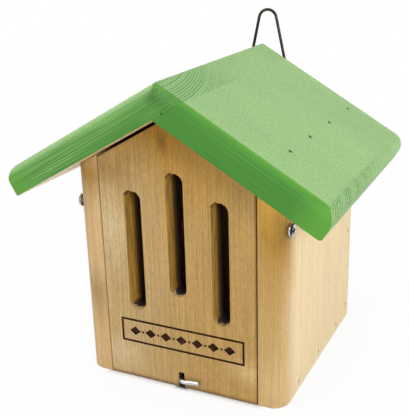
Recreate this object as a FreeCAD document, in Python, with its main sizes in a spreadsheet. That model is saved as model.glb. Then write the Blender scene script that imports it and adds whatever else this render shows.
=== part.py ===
"""Butterfly house: a pine box with a slotted swing front and a two-board gable roof.

The origin is the middle of the base. +X is to the right seen from the front, +Y points to the back
and +Z up. All lengths are in millimetres and all angles in degrees.
"""
import FreeCAD, Part
import math
import os
import Sketcher

Vector = FreeCAD.Vector
Rotation = FreeCAD.Rotation
Placement = FreeCAD.Placement

# Driving dimensions: name, value, what it measures.
DIMENSIONS = (
    ("wall", 18, "thickness of the side, back and front boards"),
    ("roof_board", 18, "thickness of the roof boards"),
    ("floor_board", 12, "thickness of the floor board"),
    ("inner_width", 110, "clear width between the side panels"),
    ("house_depth", 145, "front face to back face of the box"),
    ("side_height", 147, "outer height of a side panel, under the roof"),
    ("pitch", 30, "slope of the roof"),
    ("front_overhang", 22.5, "roof beyond the front face"),
    ("eave_overhang", 28.9, "roof beyond the side face, level, to its lower corner"),
    ("front_round", 7, "round on the front top edges of the roof"),
    ("eave_round", 9, "round on the eave top edges of the roof"),
    ("corner_round", 11, "round on the front corners of the side panels"),
    ("back_round", 3, "round on the back corners of the side panels"),
    ("side_gap", 0.6, "gap between the front panel and each side panel"),
    ("top_gap", 2, "gap between the front panel and the roof, upright"),
    ("bottom_gap", 0.5, "front panel above the base, so that its heel clears as it swings"),
    ("floor_gap", 0.5, "gap between the front panel and the floor's front edge"),
    ("slot_width", 12, "width of the entrance slots"),
    ("slot_length", 83, "length of the entrance slots, with their round ends"),
    ("slot_spacing", 30.5, "middle slot to side slot"),
    ("side_slot_base", 52.5, "bottom of the side slots above the base"),
    ("middle_slot_base", 67.5, "bottom of the middle slot above the base"),
    ("notch_width", 4.2, "width of the hook's notch in the front panel"),
    ("notch_height", 11.5, "top of the notch above the base"),
    ("pivot_height", 121.5, "pivot axis above the base"),
    ("running_clearance", 0.05, "radial clearance of what turns in a bore"),
    ("screw_shank", 4.5, "diameter of a pivot screw"),
    ("screw_length", 30, "pivot screw under its head, point included"),
    ("screw_point", 4, "tapered end of a pivot screw"),
    ("screw_head", 9, "diameter of a pivot screw's head"),
    ("head_rim", 0.8, "upright rim of the head"),
    ("head_crown", 1, "domed part of the head above its rim"),
    ("head_gap", 0.3, "head to side panel, so that the front swings freely"),
    ("recess_span", 4.6, "across the cross recess"),
    ("recess_width", 1.1, "width of a recess arm"),
    ("recess_depth", 1, "depth of the cross recess"),
    ("hook_wire", 3.2, "diameter of the latch hook"),
    ("hook_leg", 14, "hook leg, from the turning axis to its tip"),
    ("hook_bend", 2.6, "bend of the hook at its middle line"),
    ("hook_gap", 0.6, "hook leg to front face"),
    ("hook_tilt", 7, "hook leg above level as it stands"),
    ("hook_grip", 20, "hook shank in the floor board"),
    ("hook_end_gap", 0.5, "end of the hook shank to the bottom of its bore"),
    ("hanger_wire", 2.2, "diameter of the hanger wire"),
    ("hanger_loop", 7, "radius of the hanger loop at its middle line"),
    ("hanger_splay", 12.4, "lean of each hanger leg"),
    ("hanger_rise", 16.7, "centre of the hanger loop above the ridge"),
    ("hanger_drop", 50, "hanger feet below the ridge"),
    ("hanger_standoff", 10, "hanger wire behind the back face"),
    ("hanger_bend", 5, "bend where the hanger turns into the back panel"),
    ("hanger_grip", 12, "hanger foot in the back panel"),
    ("brad_wire", 1.6, "diameter of a brad"),
    ("brad_head", 2.4, "diameter of a brad's head"),
    ("brad_head_height", 0.8, "height of a brad's head"),
    ("brad_length", 28, "length of a brad with head and point"),
    ("brad_point", 2.5, "tapered end of a brad"),
    ("roof_brad_front", 13, "first roof brad behind the front face"),
    ("roof_brad_back", 14, "last roof brad before the back face"),
    ("roof_brad_drift", 4, "inner roof brads nearer the front than even spacing"),
    ("roof_brad_shift", 2, "roof brads nearer the ridge than the middle of the side panel"),
    ("floor_brad_front", 9.5, "first floor brad behind the floor's front edge"),
    ("floor_brad_back", 15, "last floor brad before the floor's back edge"),
    ("back_brad_base", 12, "lowest back brad above the base"),
    ("back_brad_top", 11, "highest back brad below the top of the side panel"),
    ("ridge_brad_inset", 24, "ridge brads in from the ends of the ridge"),
    ("heel_brad_inset", 25, "back to floor brads in from the side panels"),
)

# Sizes that follow from the driving ones: name and formula.
WORKED = (
    ("slope", "tan(Dims.pitch)"),
    ("half_inner", "Dims.inner_width / 2"),
    ("half_width", "half_inner + Dims.wall"),
    ("half_depth", "Dims.house_depth / 2"),
    ("side_inner_top", "Dims.side_height + Dims.wall * slope"),
    ("ridge_under", "Dims.side_height + half_width * slope"),
    ("ridge_top", "ridge_under + Dims.roof_board / cos(Dims.pitch)"),
    ("eave_x", "half_width + Dims.eave_overhang"),
    ("eave_z", "Dims.side_height - Dims.eave_overhang * slope"),
    ("eave_top_x", "eave_x + Dims.roof_board * sin(Dims.pitch)"),
    ("eave_top_z", "eave_z + Dims.roof_board * cos(Dims.pitch)"),
    ("round_run", "Dims.eave_round * cos(Dims.pitch)"),
    ("round_rise", "Dims.eave_round * sin(Dims.pitch)"),
    ("lap_x", "Dims.roof_board / (2 * sin(Dims.pitch))"),
    ("lap_z", "ridge_under + lap_x * slope"),
    ("roof_front", "half_depth + Dims.front_overhang"),
    ("roof_depth", "roof_front + half_depth"),
    ("panel_half", "half_inner - Dims.side_gap"),
    ("panel_shoulder", "Dims.side_height + (Dims.wall + Dims.side_gap) * slope - Dims.top_gap"),
    ("panel_apex", "ridge_under - Dims.top_gap"),
    ("back_front", "half_depth - Dims.wall"),
    ("floor_front", "back_front - Dims.floor_gap"),
    ("floor_depth", "floor_front + back_front"),
    ("pivot_y", "Dims.wall / 2 - half_depth"),
    ("screw_radius", "Dims.screw_shank / 2"),
    ("screw_bore", "screw_radius + Dims.running_clearance"),
    ("slot_radius", "Dims.slot_width / 2"),
    ("hook_radius", "Dims.hook_wire / 2"),
    ("hook_bore", "hook_radius + Dims.running_clearance"),
    ("hook_z", "Dims.floor_board / 2"),
    ("hook_front", "half_depth + Dims.hook_gap + hook_radius"),
    ("hook_shank", "hook_front - floor_front + Dims.hook_grip"),
)

doc = FreeCAD.newDocument("butterfly_house")


def fill_sheet(name, rows):
    """Make a sheet with one named cell per row and return it."""
    sheet = doc.addObject("Spreadsheet::Sheet", name)
    for number, (alias, content, note) in enumerate(rows, start=1):
        sheet.set(f"A{number}", content)
        sheet.setAlias(f"A{number}", alias)
        sheet.set(f"B{number}", note)
    return sheet


dims = fill_sheet("Dims", [(name, str(value), note) for name, value, note in DIMENSIONS])
worked = fill_sheet("Worked", [(name, f"={formula}", formula) for name, formula in WORKED])
doc.recompute()

DRIVING_NAMES = {name for name, _, _ in DIMENSIONS}


def size(name):
    """Read a named size from the sheets."""
    sheet = dims if name in DRIVING_NAMES else worked
    return float(sheet.get(name))


# Sketches and features

def new_body(label):
    """Start a body for one piece."""
    body = doc.addObject("PartDesign::Body", f"{label}_body")
    body.Label = label
    return body


def new_sketch(body, name, plane, offset="0"):
    """Attach a sketch to one of the body's own planes, moved along the plane's normal."""
    sketch = body.newObject("Sketcher::SketchObject", f"{body.Label}_{name}")
    support = next(item for item in body.Origin.OriginFeatures if item.Role == plane)
    sketch.AttachmentSupport = (support, [""])
    sketch.MapMode = "FlatFace"
    sketch.setExpression("AttachmentOffset.Base.z", offset)
    doc.recompute()
    return sketch


def pin_point(sketch, geometry, end, across, along):
    """Fix one point of a sketch at two formulas."""
    for kind, formula in (("DistanceX", across), ("DistanceY", along)):
        pin_distance(sketch, kind, geometry, end, formula)


def pin_distance(sketch, kind, geometry, end, formula):
    """Fix one coordinate of a sketch point at a formula."""
    start = value(sketch, formula)
    index = sketch.addConstraint(Sketcher.Constraint(kind, -1, 1, geometry, end, start))
    sketch.setExpression(f"Constraints[{index}]", formula)


def value(sketch, formula):
    """Work out a formula where the sketch stands."""
    return float(sketch.evalExpression(formula))


def draw_polygon(sketch, corners):
    """Draw a closed outline of straight lines through corners given as pairs of formulas."""
    points = [Vector(value(sketch, across), value(sketch, along), 0) for across, along in corners]
    lines = []
    for start, end in zip(points, points[1:] + points[:1]):
        lines.append(sketch.addGeometry(Part.LineSegment(start, end), False))
    for line, following in zip(lines, lines[1:] + lines[:1]):
        sketch.addConstraint(Sketcher.Constraint("Coincident", line, 2, following, 1))
    for line, (across, along) in zip(lines, corners):
        pin_point(sketch, line, 1, across, along)


def draw_slot(sketch, middle, base, length, radius):
    """Draw an upright slot with round ends."""
    left, right = f"{middle} - {radius}", f"{middle} + {radius}"
    low, high = f"{base} + {radius}", f"{base} + {length} - {radius}"
    x0, x1, z0, z1 = (value(sketch, formula) for formula in (left, right, low, high))
    reach = (x1 - x0) / 2
    centre_x = (x0 + x1) / 2
    normal = Vector(0, 0, 1)
    top_circle = Part.Circle(Vector(centre_x, z1, 0), normal, reach)
    low_circle = Part.Circle(Vector(centre_x, z0, 0), normal, reach)
    top = sketch.addGeometry(Part.ArcOfCircle(top_circle, 0, math.pi), False)
    left_line = sketch.addGeometry(Part.LineSegment(Vector(x0, z1, 0), Vector(x0, z0, 0)), False)
    bottom = sketch.addGeometry(Part.ArcOfCircle(low_circle, math.pi, 2 * math.pi), False)
    right_line = sketch.addGeometry(Part.LineSegment(Vector(x1, z0, 0), Vector(x1, z1, 0)), False)
    ring = (top, left_line, bottom, right_line)
    for piece, following in zip(ring, ring[1:] + ring[:1]):
        sketch.addConstraint(Sketcher.Constraint("Coincident", piece, 2, following, 1))
    pin_point(sketch, left_line, 1, left, high)
    pin_point(sketch, right_line, 1, right, low)
    pin_point(sketch, left_line, 2, left, low)
    pin_point(sketch, right_line, 2, right, high)
    pin_distance(sketch, "DistanceY", top, 3, high)
    pin_distance(sketch, "DistanceY", bottom, 3, low)


def draw_circle(sketch, across, along, radius):
    """Draw a circle whose centre and radius are formulas."""
    centre = Vector(value(sketch, across), value(sketch, along), 0)
    circle = Part.Circle(centre, Vector(0, 0, 1), value(sketch, radius))
    index = sketch.addGeometry(circle, False)
    pin_point(sketch, index, 3, across, along)
    radial = sketch.addConstraint(Sketcher.Constraint("Radius", index, circle.Radius))
    sketch.setExpression(f"Constraints[{radial}]", radius)


def pad(body, sketch, length, away=True):
    """Raise a sketch to a solid, away from its normal by default."""
    feature = body.newObject("PartDesign::Pad", f"{sketch.Name}_pad")
    feature.Profile = sketch
    feature.Reversed = away
    feature.setExpression("Length", length)
    doc.recompute()
    return feature


def pocket_through(body, sketch):
    """Cut a sketch through the whole piece, both ways, and make sure that wood came away."""
    before = body.Shape.Volume
    feature = body.newObject("PartDesign::Pocket", f"{sketch.Name}_pocket")
    feature.Profile = sketch
    feature.Type = "ThroughAll"
    feature.Midplane = True
    doc.recompute()
    if not body.Shape.Volume < before:
        raise RuntimeError(f"{sketch.Name} cut nothing")
    return feature


def round_edges(body, base, radius, name, chosen):
    """Round the edges of a feature that a test picks out."""
    names = [f"Edge{number}" for number, edge in enumerate(base.Shape.Edges, start=1) if chosen(edge)]
    if not names:
        raise RuntimeError(f"{name} found no edge")
    feature = body.newObject("PartDesign::Fillet", f"{body.Label}_{name}")
    feature.Base = (base, names)
    feature.setExpression("Radius", radius)
    doc.recompute()
    return feature


NEAR = 1e-4


def edge_at(**planes):
    """Make a test for edges that lie wholly at given X, Y or Z places."""
    def chosen(edge):
        box = edge.BoundBox
        for axis, place in planes.items():
            low, high = getattr(box, f"{axis}Min"), getattr(box, f"{axis}Max")
            if abs(low - place) > NEAR or abs(high - place) > NEAR:
                return False
        return True
    return chosen


def board_across(label, corners, front, depth):
    """Make a board from its outline seen from the front, standing back from a plane."""
    body = new_body(label)
    sketch = new_sketch(body, "outline", "XZ_Plane", front)
    draw_polygon(sketch, corners)
    return body, pad(body, sketch, depth)


# Fastenings

def brad(head, along):
    """Make one brad whose head lies at a point, driven along a direction."""
    wire, cap = size("brad_wire") / 2, size("brad_head") / 2
    neck, shank = size("brad_head_height"), size("brad_length") - size("brad_point")
    outline = ((0, 0), (cap, 0), (wire, neck), (wire, shank), (0, size("brad_length")))
    corners = [Vector(radius, 0, depth) for radius, depth in outline]
    face = Part.Face(Part.makePolygon(corners + corners[:1]))
    solid = face.revolve(Vector(0, 0, 0), Vector(0, 0, 1), 360)
    solid.Placement = Placement(head, Rotation(Vector(0, 0, 1), along))
    return solid


def brad_group(label, along, heads):
    """Make a group of brads that are driven the same way."""
    group = doc.addObject("Part::Feature", label)
    group.Label = label
    group.Shape = Part.makeCompound([brad(head, along) for head in heads])
    return group


def spread(first, last, count):
    """Space places evenly from the first to the last."""
    step = (last - first) / (count - 1)
    return [first + step * number for number in range(count)]


def drive(board, groups):
    """Cut the holes that driven pieces fill in a board; the result takes the board's name."""
    label = board.Label
    tool = doc.addObject("Part::Compound", f"{label}_driven")
    tool.Links = groups
    board.Label = f"{label}_blank"
    drilled = doc.addObject("Part::Cut", label)
    drilled.Label = label
    drilled.Base = board
    drilled.Tool = tool
    return drilled


# Walls and floor

def side_panel(label, side):
    """Make a side panel: bevelled top, rounded outer corners, bore for the pivot screw."""
    inner, outer = f"{side} * Worked.half_inner", f"{side} * Worked.half_width"
    corners = [(inner, "0"), (outer, "0"), (outer, "Dims.side_height"), (inner, "Worked.side_inner_top")]
    body, board = board_across(label, corners, "Worked.half_depth", "Dims.house_depth")
    outer_x, half_depth = side * size("half_width"), size("half_depth")
    front_edge = edge_at(X=outer_x, Y=-half_depth)
    board = round_edges(body, board, "Dims.corner_round", "front_corner", front_edge)
    back_edge = edge_at(X=outer_x, Y=half_depth)
    round_edges(body, board, "Dims.back_round", "back_corner", back_edge)
    bore = new_sketch(body, "pivot_bore", "YZ_Plane")
    draw_circle(bore, "Worked.pivot_y", "Dims.pivot_height", "Worked.screw_bore")
    pocket_through(body, bore)
    return body


def back_panel():
    """Make the back panel, a gable-topped board between the side panels."""
    corners = [("-Worked.half_inner", "0"), ("Worked.half_inner", "0")]
    corners.append(("Worked.half_inner", "Worked.side_inner_top"))
    corners.append(("0", "Worked.ridge_under"))
    corners.append(("-Worked.half_inner", "Worked.side_inner_top"))
    body, _ = board_across("back_panel", corners, "-Worked.back_front", "Dims.wall")
    return body


def floor_board():
    """Make the floor board, with the bore that the latch hook turns in."""
    corners = [("-Worked.half_inner", "0"), ("Worked.half_inner", "0")]
    corners.append(("Worked.half_inner", "Dims.floor_board"))
    corners.append(("-Worked.half_inner", "Dims.floor_board"))
    body, board = board_across("floor_board", corners, "Worked.floor_front", "Worked.floor_depth")
    bore = new_sketch(body, "hook_bore", "XZ_Plane", "Worked.floor_front")
    draw_circle(bore, "0", "Worked.hook_z", "Worked.hook_bore")
    before = board.Shape.Volume
    feature = body.newObject("PartDesign::Pocket", "floor_board_hook_bore_pocket")
    feature.Profile = bore
    feature.setExpression("Length", "Dims.hook_grip + Dims.hook_end_gap")
    doc.recompute()
    if not body.Shape.Volume < before:
        raise RuntimeError("the hook's bore cut nothing")
    return body


def front_panel():
    """Make the swing front: gable top, three entrance slots, notch for the latch hook."""
    corners = [("-Worked.panel_half", "Dims.bottom_gap"), ("Worked.panel_half", "Dims.bottom_gap")]
    corners.append(("Worked.panel_half", "Worked.panel_shoulder"))
    corners.append(("0", "Worked.panel_apex"))
    corners.append(("-Worked.panel_half", "Worked.panel_shoulder"))
    body, _ = board_across("front_panel", corners, "Worked.half_depth", "Dims.wall")
    slots = new_sketch(body, "slots", "XZ_Plane", "Worked.half_depth")
    places = (("-Dims.slot_spacing", "Dims.side_slot_base"), ("0", "Dims.middle_slot_base"))
    places += (("Dims.slot_spacing", "Dims.side_slot_base"),)
    for middle, base in places:
        draw_slot(slots, middle, base, "Dims.slot_length", "Worked.slot_radius")
    pocket_through(body, slots)
    notch = new_sketch(body, "notch", "XZ_Plane", "Worked.half_depth")
    left, right = "-Dims.notch_width / 2", "Dims.notch_width / 2"
    outline = [(left, "0"), (right, "0"), (right, "Dims.notch_height"), (left, "Dims.notch_height")]
    draw_polygon(notch, outline)
    pocket_through(body, notch)
    return body


# Roof

def round_eave(body, side):
    """Take the top corner of a roof board's eave off, from front to back, along a quarter round."""
    sketch = new_sketch(body, "eave_round", "XZ_Plane")
    on_top = (f"{side} * (Worked.eave_top_x - Worked.round_run)", "Worked.eave_top_z + Worked.round_rise")
    on_end = (f"{side} * (Worked.eave_top_x - Worked.round_rise)", "Worked.eave_top_z - Worked.round_run")
    corner = (f"{side} * Worked.eave_top_x", "Worked.eave_top_z")
    centre = (f"{side} * (Worked.eave_top_x - Worked.round_run - Worked.round_rise)",
              "Worked.eave_top_z + Worked.round_rise - Worked.round_run")
    places = (on_end, on_top) if side > 0 else (on_top, on_end)
    first, last, tip, middle = (
        Vector(value(sketch, across), value(sketch, up), 0) for across, up in (*places, corner, centre)
    )
    circle = Part.Circle(middle, Vector(0, 0, 1), (first - middle).Length)
    start, end = (math.atan2(point.y - middle.y, point.x - middle.x) for point in (first, last))
    arc = sketch.addGeometry(Part.ArcOfCircle(circle, start, end), False)
    outward = sketch.addGeometry(Part.LineSegment(last, tip), False)
    inward = sketch.addGeometry(Part.LineSegment(tip, first), False)
    ring = (arc, outward, inward)
    for piece, following in zip(ring, ring[1:] + ring[:1]):
        sketch.addConstraint(Sketcher.Constraint("Coincident", piece, 2, following, 1))
    pin_point(sketch, outward, 1, *places[1])
    pin_point(sketch, inward, 1, *corner)
    pin_point(sketch, inward, 2, *places[0])
    pin_distance(sketch, "DistanceX", arc, 3, centre[0])
    pocket_through(body, sketch)


def roof_board(label, corners, top_line, side):
    """Make a roof board with its front and eave top edges rounded.

    The top line runs from the eave along the upper outline, in pairs of named sizes.
    """
    body, board = board_across(label, corners, "Worked.roof_front", "Worked.roof_depth")
    outline, front = board.Profile[0], -size("roof_front")
    points = [Vector(value(outline, across), front, value(outline, up)) for across, up in top_line]

    def front_top(edge):
        return all(any(vertex.Point.isEqual(point, NEAR) for point in points) for vertex in edge.Vertexes)

    round_edges(body, board, "Dims.front_round", "front_edges", front_top)
    round_eave(body, side)
    return body


LAP = ("Worked.lap_x", "Worked.lap_z")


def left_roof_board():
    """Make the left roof board, which runs through the ridge to the right slope."""
    eave_top = ("-Worked.eave_top_x", "Worked.eave_top_z")
    ridge_line = ("0", "Worked.ridge_top")
    corners = [("-Worked.eave_x", "Worked.eave_z"), LAP, ridge_line, eave_top]
    return roof_board("left_roof_board", corners, [eave_top, ridge_line, LAP], -1)


def right_roof_board():
    """Make the right roof board, which butts against the left one's underside."""
    eave_top = ("Worked.eave_top_x", "Worked.eave_top_z")
    corners = [("0", "Worked.ridge_under"), ("Worked.eave_x", "Worked.eave_z"), eave_top, LAP]
    return roof_board("right_roof_board", corners, [eave_top, LAP], 1)


# Pivot screws, latch hook and hanger

def pivot_screw(label, side):
    """Make a low-headed screw through the side panel into the edge of the front panel."""
    body = new_body(label)
    profile = new_sketch(body, "profile", "XZ_Plane")
    head, shank = "Dims.screw_head / 2", "Worked.screw_radius"
    corners = [("-Dims.screw_length", "0"), ("Dims.head_rim + Dims.head_crown", "0")]
    corners.append(("Dims.head_rim + Dims.head_crown", "Dims.recess_span / 2"))
    corners += [("Dims.head_rim", head), ("0", head), ("0", shank)]
    corners.append(("Dims.screw_point - Dims.screw_length", shank))
    draw_polygon(profile, corners)
    turned = body.newObject("PartDesign::Revolution", f"{label}_turned")
    turned.Profile = profile
    turned.ReferenceAxis = (profile, ["H_Axis"])
    turned.Angle = 360
    doc.recompute()
    recess = new_sketch(body, "recess", "YZ_Plane", "Dims.head_rim + Dims.head_crown")
    long_half, short_half = "Dims.recess_span / 2", "Dims.recess_width / 2"
    quarter = [(short_half, long_half), (short_half, short_half), (long_half, short_half)]
    outline = quarter + [(across, f"-{along}") for across, along in reversed(quarter)]
    outline += [(f"-{across}", f"-{along}") for across, along in quarter]
    outline += [(f"-{across}", along) for across, along in reversed(quarter)]
    draw_polygon(recess, outline)
    before = body.Shape.Volume
    feature = body.newObject("PartDesign::Pocket", f"{label}_recess_pocket")
    feature.Profile = recess
    feature.setExpression("Length", "Dims.recess_depth")
    doc.recompute()
    if not body.Shape.Volume < before:
        raise RuntimeError(f"{label} has no recess")
    turn = Rotation(Vector(0, 0, 1), 0 if side > 0 else 180)
    body.Placement = Placement(Vector(0, 0, 0), turn)
    body.setExpression("Placement.Base.x", f"{side} * (Worked.half_width + Dims.head_gap)")
    body.setExpression("Placement.Base.y", "Worked.pivot_y")
    body.setExpression("Placement.Base.z", "Dims.pivot_height")
    return body


def latch_hook():
    """Make the L-shaped hook: a shank in the floor board, a bend and a leg across the front."""
    body = new_body("latch_hook")
    section = new_sketch(body, "section", "XZ_Plane", "-Worked.hook_shank")
    draw_circle(section, "0", "0", "Worked.hook_radius")
    path = new_sketch(body, "path", "XY_Plane")
    bend, shank, leg = size("hook_bend"), size("hook_shank"), size("hook_leg")
    straight = path.addGeometry(Part.LineSegment(Vector(0, shank, 0), Vector(0, bend, 0)), False)
    circle = Part.Circle(Vector(bend, bend, 0), Vector(0, 0, 1), bend)
    corner = path.addGeometry(Part.ArcOfCircle(circle, math.pi, 1.5 * math.pi), False)
    across = path.addGeometry(Part.LineSegment(Vector(bend, 0, 0), Vector(leg, 0, 0)), False)
    path.addConstraint(Sketcher.Constraint("Coincident", straight, 2, corner, 1))
    path.addConstraint(Sketcher.Constraint("Coincident", corner, 2, across, 1))
    pin_point(path, straight, 1, "0", "Worked.hook_shank")
    pin_point(path, straight, 2, "0", "Dims.hook_bend")
    pin_point(path, across, 1, "Dims.hook_bend", "0")
    pin_point(path, across, 2, "Dims.hook_leg", "0")
    pin_distance(path, "DistanceX", corner, 3, "Dims.hook_bend")
    pipe = body.newObject("PartDesign::AdditivePipe", "latch_hook_wire")
    pipe.Profile = section
    pipe.Spine = (path, ["Edge1", "Edge2", "Edge3"])
    doc.recompute()
    body.Placement = Placement(Vector(0, 0, 0), Rotation(Vector(0, -1, 0), size("hook_tilt")))
    body.setExpression("Placement.Base.y", "-Worked.hook_front")
    body.setExpression("Placement.Base.z", "Worked.hook_z")
    return body


def round_corner(before, corner, after, radius):
    """Turn a corner of a path into a tangent arc and return its start, middle and end."""
    towards, onwards = (before - corner).normalize(), (after - corner).normalize()
    half_angle = towards.getAngle(onwards) / 2
    bisector = (towards + onwards).normalize()
    setback = radius / math.tan(half_angle)
    middle = corner + bisector * (radius / math.sin(half_angle) - radius)
    return corner + towards * setback, middle, corner + onwards * setback


def hanger_wire():
    """Make the hanger: a loop above the ridge whose splayed legs turn into the back panel."""
    lean = Rotation(Vector(0, -1, 0), size("hanger_splay"))
    behind = size("half_depth") + size("hanger_standoff")
    loop_centre = Vector(0, behind, size("ridge_top") + size("hanger_rise"))
    tangent = loop_centre + lean.multVec(Vector(size("hanger_loop"), 0, 0))
    down = lean.multVec(Vector(0, 0, -1))
    foot_height = size("ridge_top") - size("hanger_drop")
    foot = tangent + down * ((foot_height - tangent.z) / down.z)
    tip = foot - Vector(0, size("hanger_standoff") + size("hanger_grip"), 0)
    start, middle, end = round_corner(tangent, foot, tip, size("hanger_bend"))

    def mirrored(point):
        return Vector(-point.x, point.y, point.z)

    crown = loop_centre + Vector(0, 0, size("hanger_loop"))
    edges = [Part.LineSegment(tip, end), Part.Arc(end, middle, start), Part.LineSegment(start, tangent)]
    edges.append(Part.Arc(tangent, crown, mirrored(tangent)))
    edges.append(Part.LineSegment(mirrored(tangent), mirrored(start)))
    edges.append(Part.Arc(mirrored(start), mirrored(middle), mirrored(end)))
    edges.append(Part.LineSegment(mirrored(end), mirrored(tip)))
    path = Part.Wire([edge.toShape() for edge in edges])
    section = Part.Wire(Part.makeCircle(size("hanger_wire") / 2, tip, Vector(0, 1, 0)))
    wire = doc.addObject("Part::Feature", "hanger_wire")
    wire.Label = "hanger_wire"
    wire.Shape = path.makePipeShell([section], True, False)
    return wire


# Where the brads go

def side_brads(side):
    """Make the brads of one side: roof to side panel, side panel to floor, side panel to back."""
    name = "right" if side > 0 else "left"
    half_depth, half_width = size("half_depth"), size("half_width")
    inward = Vector(-side, 0, 0)
    upright = Rotation(Vector(0, side, 0), size("pitch")).multVec(Vector(0, 0, 1))
    inset = size("wall") / 2 + size("roof_brad_shift")
    seat = Vector(side * (half_width - inset), 0, size("side_height") + inset * size("slope"))
    head = seat + upright * size("roof_board")
    first = size("roof_brad_front") - half_depth
    places = spread(first, half_depth - size("roof_brad_back"), 4)
    drift = (0, size("roof_brad_drift"), size("roof_brad_drift"), 0)
    heads = [Vector(head.x, place - shift, head.z) for place, shift in zip(places, drift)]
    roof = brad_group(f"{name}_roof_brads", -upright, heads)
    first = size("floor_brad_front") - size("floor_front")
    places = spread(first, size("back_front") - size("floor_brad_back"), 3)
    heads = [Vector(side * half_width, place, size("floor_board") / 2) for place in places]
    floor = brad_group(f"{name}_floor_brads", inward, heads)
    heights = spread(size("back_brad_base"), size("side_height") - size("back_brad_top"), 3)
    depth = half_depth - size("wall") / 2
    back = brad_group(f"{name}_back_brads", inward, [Vector(side * half_width, depth, z) for z in heights])
    return roof, floor, back


def ridge_brads():
    """Make the brads through the left roof board into the end of the right one, along its middle."""
    along = Rotation(Vector(0, 1, 0), size("pitch")).multVec(Vector(1, 0, 0))
    butt = Vector(size("lap_x") / 2, 0, (size("ridge_under") + size("lap_z")) / 2)
    slant_through = size("roof_board") / math.sin(math.radians(2 * size("pitch")))
    head = butt - along * (slant_through - size("brad_head"))
    first = size("ridge_brad_inset") - size("roof_front")
    places = spread(first, size("half_depth") - size("ridge_brad_inset"), 3)
    return brad_group("ridge_brads", along, [Vector(head.x, place, head.z) for place in places])


def heel_brads():
    """Make the brads through the back panel into the rear edge of the floor board."""
    reach = size("half_inner") - size("heel_brad_inset")
    heads = [Vector(x, size("half_depth"), size("floor_board") / 2) for x in (-reach, reach)]
    return brad_group("back_floor_brads", Vector(0, -1, 0), heads)


# The assembly

left_roof, left_floor, left_back = side_brads(-1)
right_roof, right_floor, right_back = side_brads(1)
ridge, heel = ridge_brads(), heel_brads()
left_screw, right_screw = pivot_screw("left_pivot_screw", -1), pivot_screw("right_pivot_screw", 1)
hook, hanger = latch_hook(), hanger_wire()

brad_groups = [left_roof, right_roof, left_floor, right_floor, left_back, right_back, ridge, heel]
boards = (
    (side_panel("left_side_panel", -1), [left_roof, left_floor, left_back]),
    (side_panel("right_side_panel", 1), [right_roof, right_floor, right_back]),
    (back_panel(), [left_back, right_back, heel, hanger]),
    (floor_board(), [left_floor, right_floor, heel]),
    (front_panel(), [left_screw, right_screw]),
    (left_roof_board(), [left_roof, ridge]),
    (right_roof_board(), [right_roof, ridge]),
)
pieces = brad_groups + [left_screw, right_screw, hook, hanger]
pieces += [drive(board, driven) for board, driven in boards]
doc.recompute()

for item in doc.Objects:
    if "Invalid" in item.State or "Error" in item.State:
        raise RuntimeError(f"{item.Label} failed: {item.State}")
for piece in pieces:
    if piece.Shape.isNull() or not piece.Shape.isValid():
        raise RuntimeError(f"{piece.Label} has no valid shape")

os.makedirs("parts", exist_ok=True)
for piece in pieces:
    piece.Shape.exportStep(f"parts/{piece.Label}.step")
    print(piece.Label, len(piece.Shape.Solids), round(piece.Shape.Volume, 1))
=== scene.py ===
"""Butterfly house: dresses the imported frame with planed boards, metalwork, a burned panel and light."""

import logging
import math
import random
from contextlib import contextmanager
from dataclasses import dataclass, field
from enum import Enum
from typing import Callable, Iterable, Iterator, Sequence, Union

import bpy
import bmesh
from mathutils import Euler, Matrix, Vector

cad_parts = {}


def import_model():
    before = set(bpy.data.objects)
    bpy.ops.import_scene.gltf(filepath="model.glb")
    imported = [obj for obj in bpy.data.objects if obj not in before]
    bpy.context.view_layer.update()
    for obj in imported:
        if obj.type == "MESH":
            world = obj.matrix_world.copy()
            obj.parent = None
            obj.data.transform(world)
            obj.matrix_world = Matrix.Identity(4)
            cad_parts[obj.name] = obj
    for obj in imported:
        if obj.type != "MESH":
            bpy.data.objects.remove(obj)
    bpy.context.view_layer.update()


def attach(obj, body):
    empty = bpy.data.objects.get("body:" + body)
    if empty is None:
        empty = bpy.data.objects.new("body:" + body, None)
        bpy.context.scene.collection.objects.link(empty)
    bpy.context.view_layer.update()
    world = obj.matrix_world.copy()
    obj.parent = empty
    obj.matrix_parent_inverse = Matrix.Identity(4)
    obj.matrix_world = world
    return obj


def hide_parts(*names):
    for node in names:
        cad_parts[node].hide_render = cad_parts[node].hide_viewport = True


LOG = logging.getLogger("butterfly_house")
MM = 0.001
TOUCH = 0.01 * MM
NEAR = 0.1 * MM
QUARTER = math.pi / 2
BACK = Vector((0, 1, 0))
Pair = tuple[float, float]
Triple = tuple[float, float, float]
Point = Union[Vector, Triple]
Test = Callable[[Vector, Vector], bool]
Socket = bpy.types.NodeSocket
Finish = bpy.types.Material
Piece = bpy.types.Object
Pockets = Callable[[str], Iterable[Piece]]


class Side(Enum):
    """A side of the house, by the sign of X."""

    LEFT = -1
    RIGHT = 1

    @property
    def word(self) -> str:
        """The side's name as the CAD nodes spell it."""
        return self.name.lower()


class Body(Enum):
    """The bodies of the frame that pieces ride on."""

    HOUSE = "house"
    FRONT = "front_panel"
    HOOK = "latch_hook"


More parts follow.
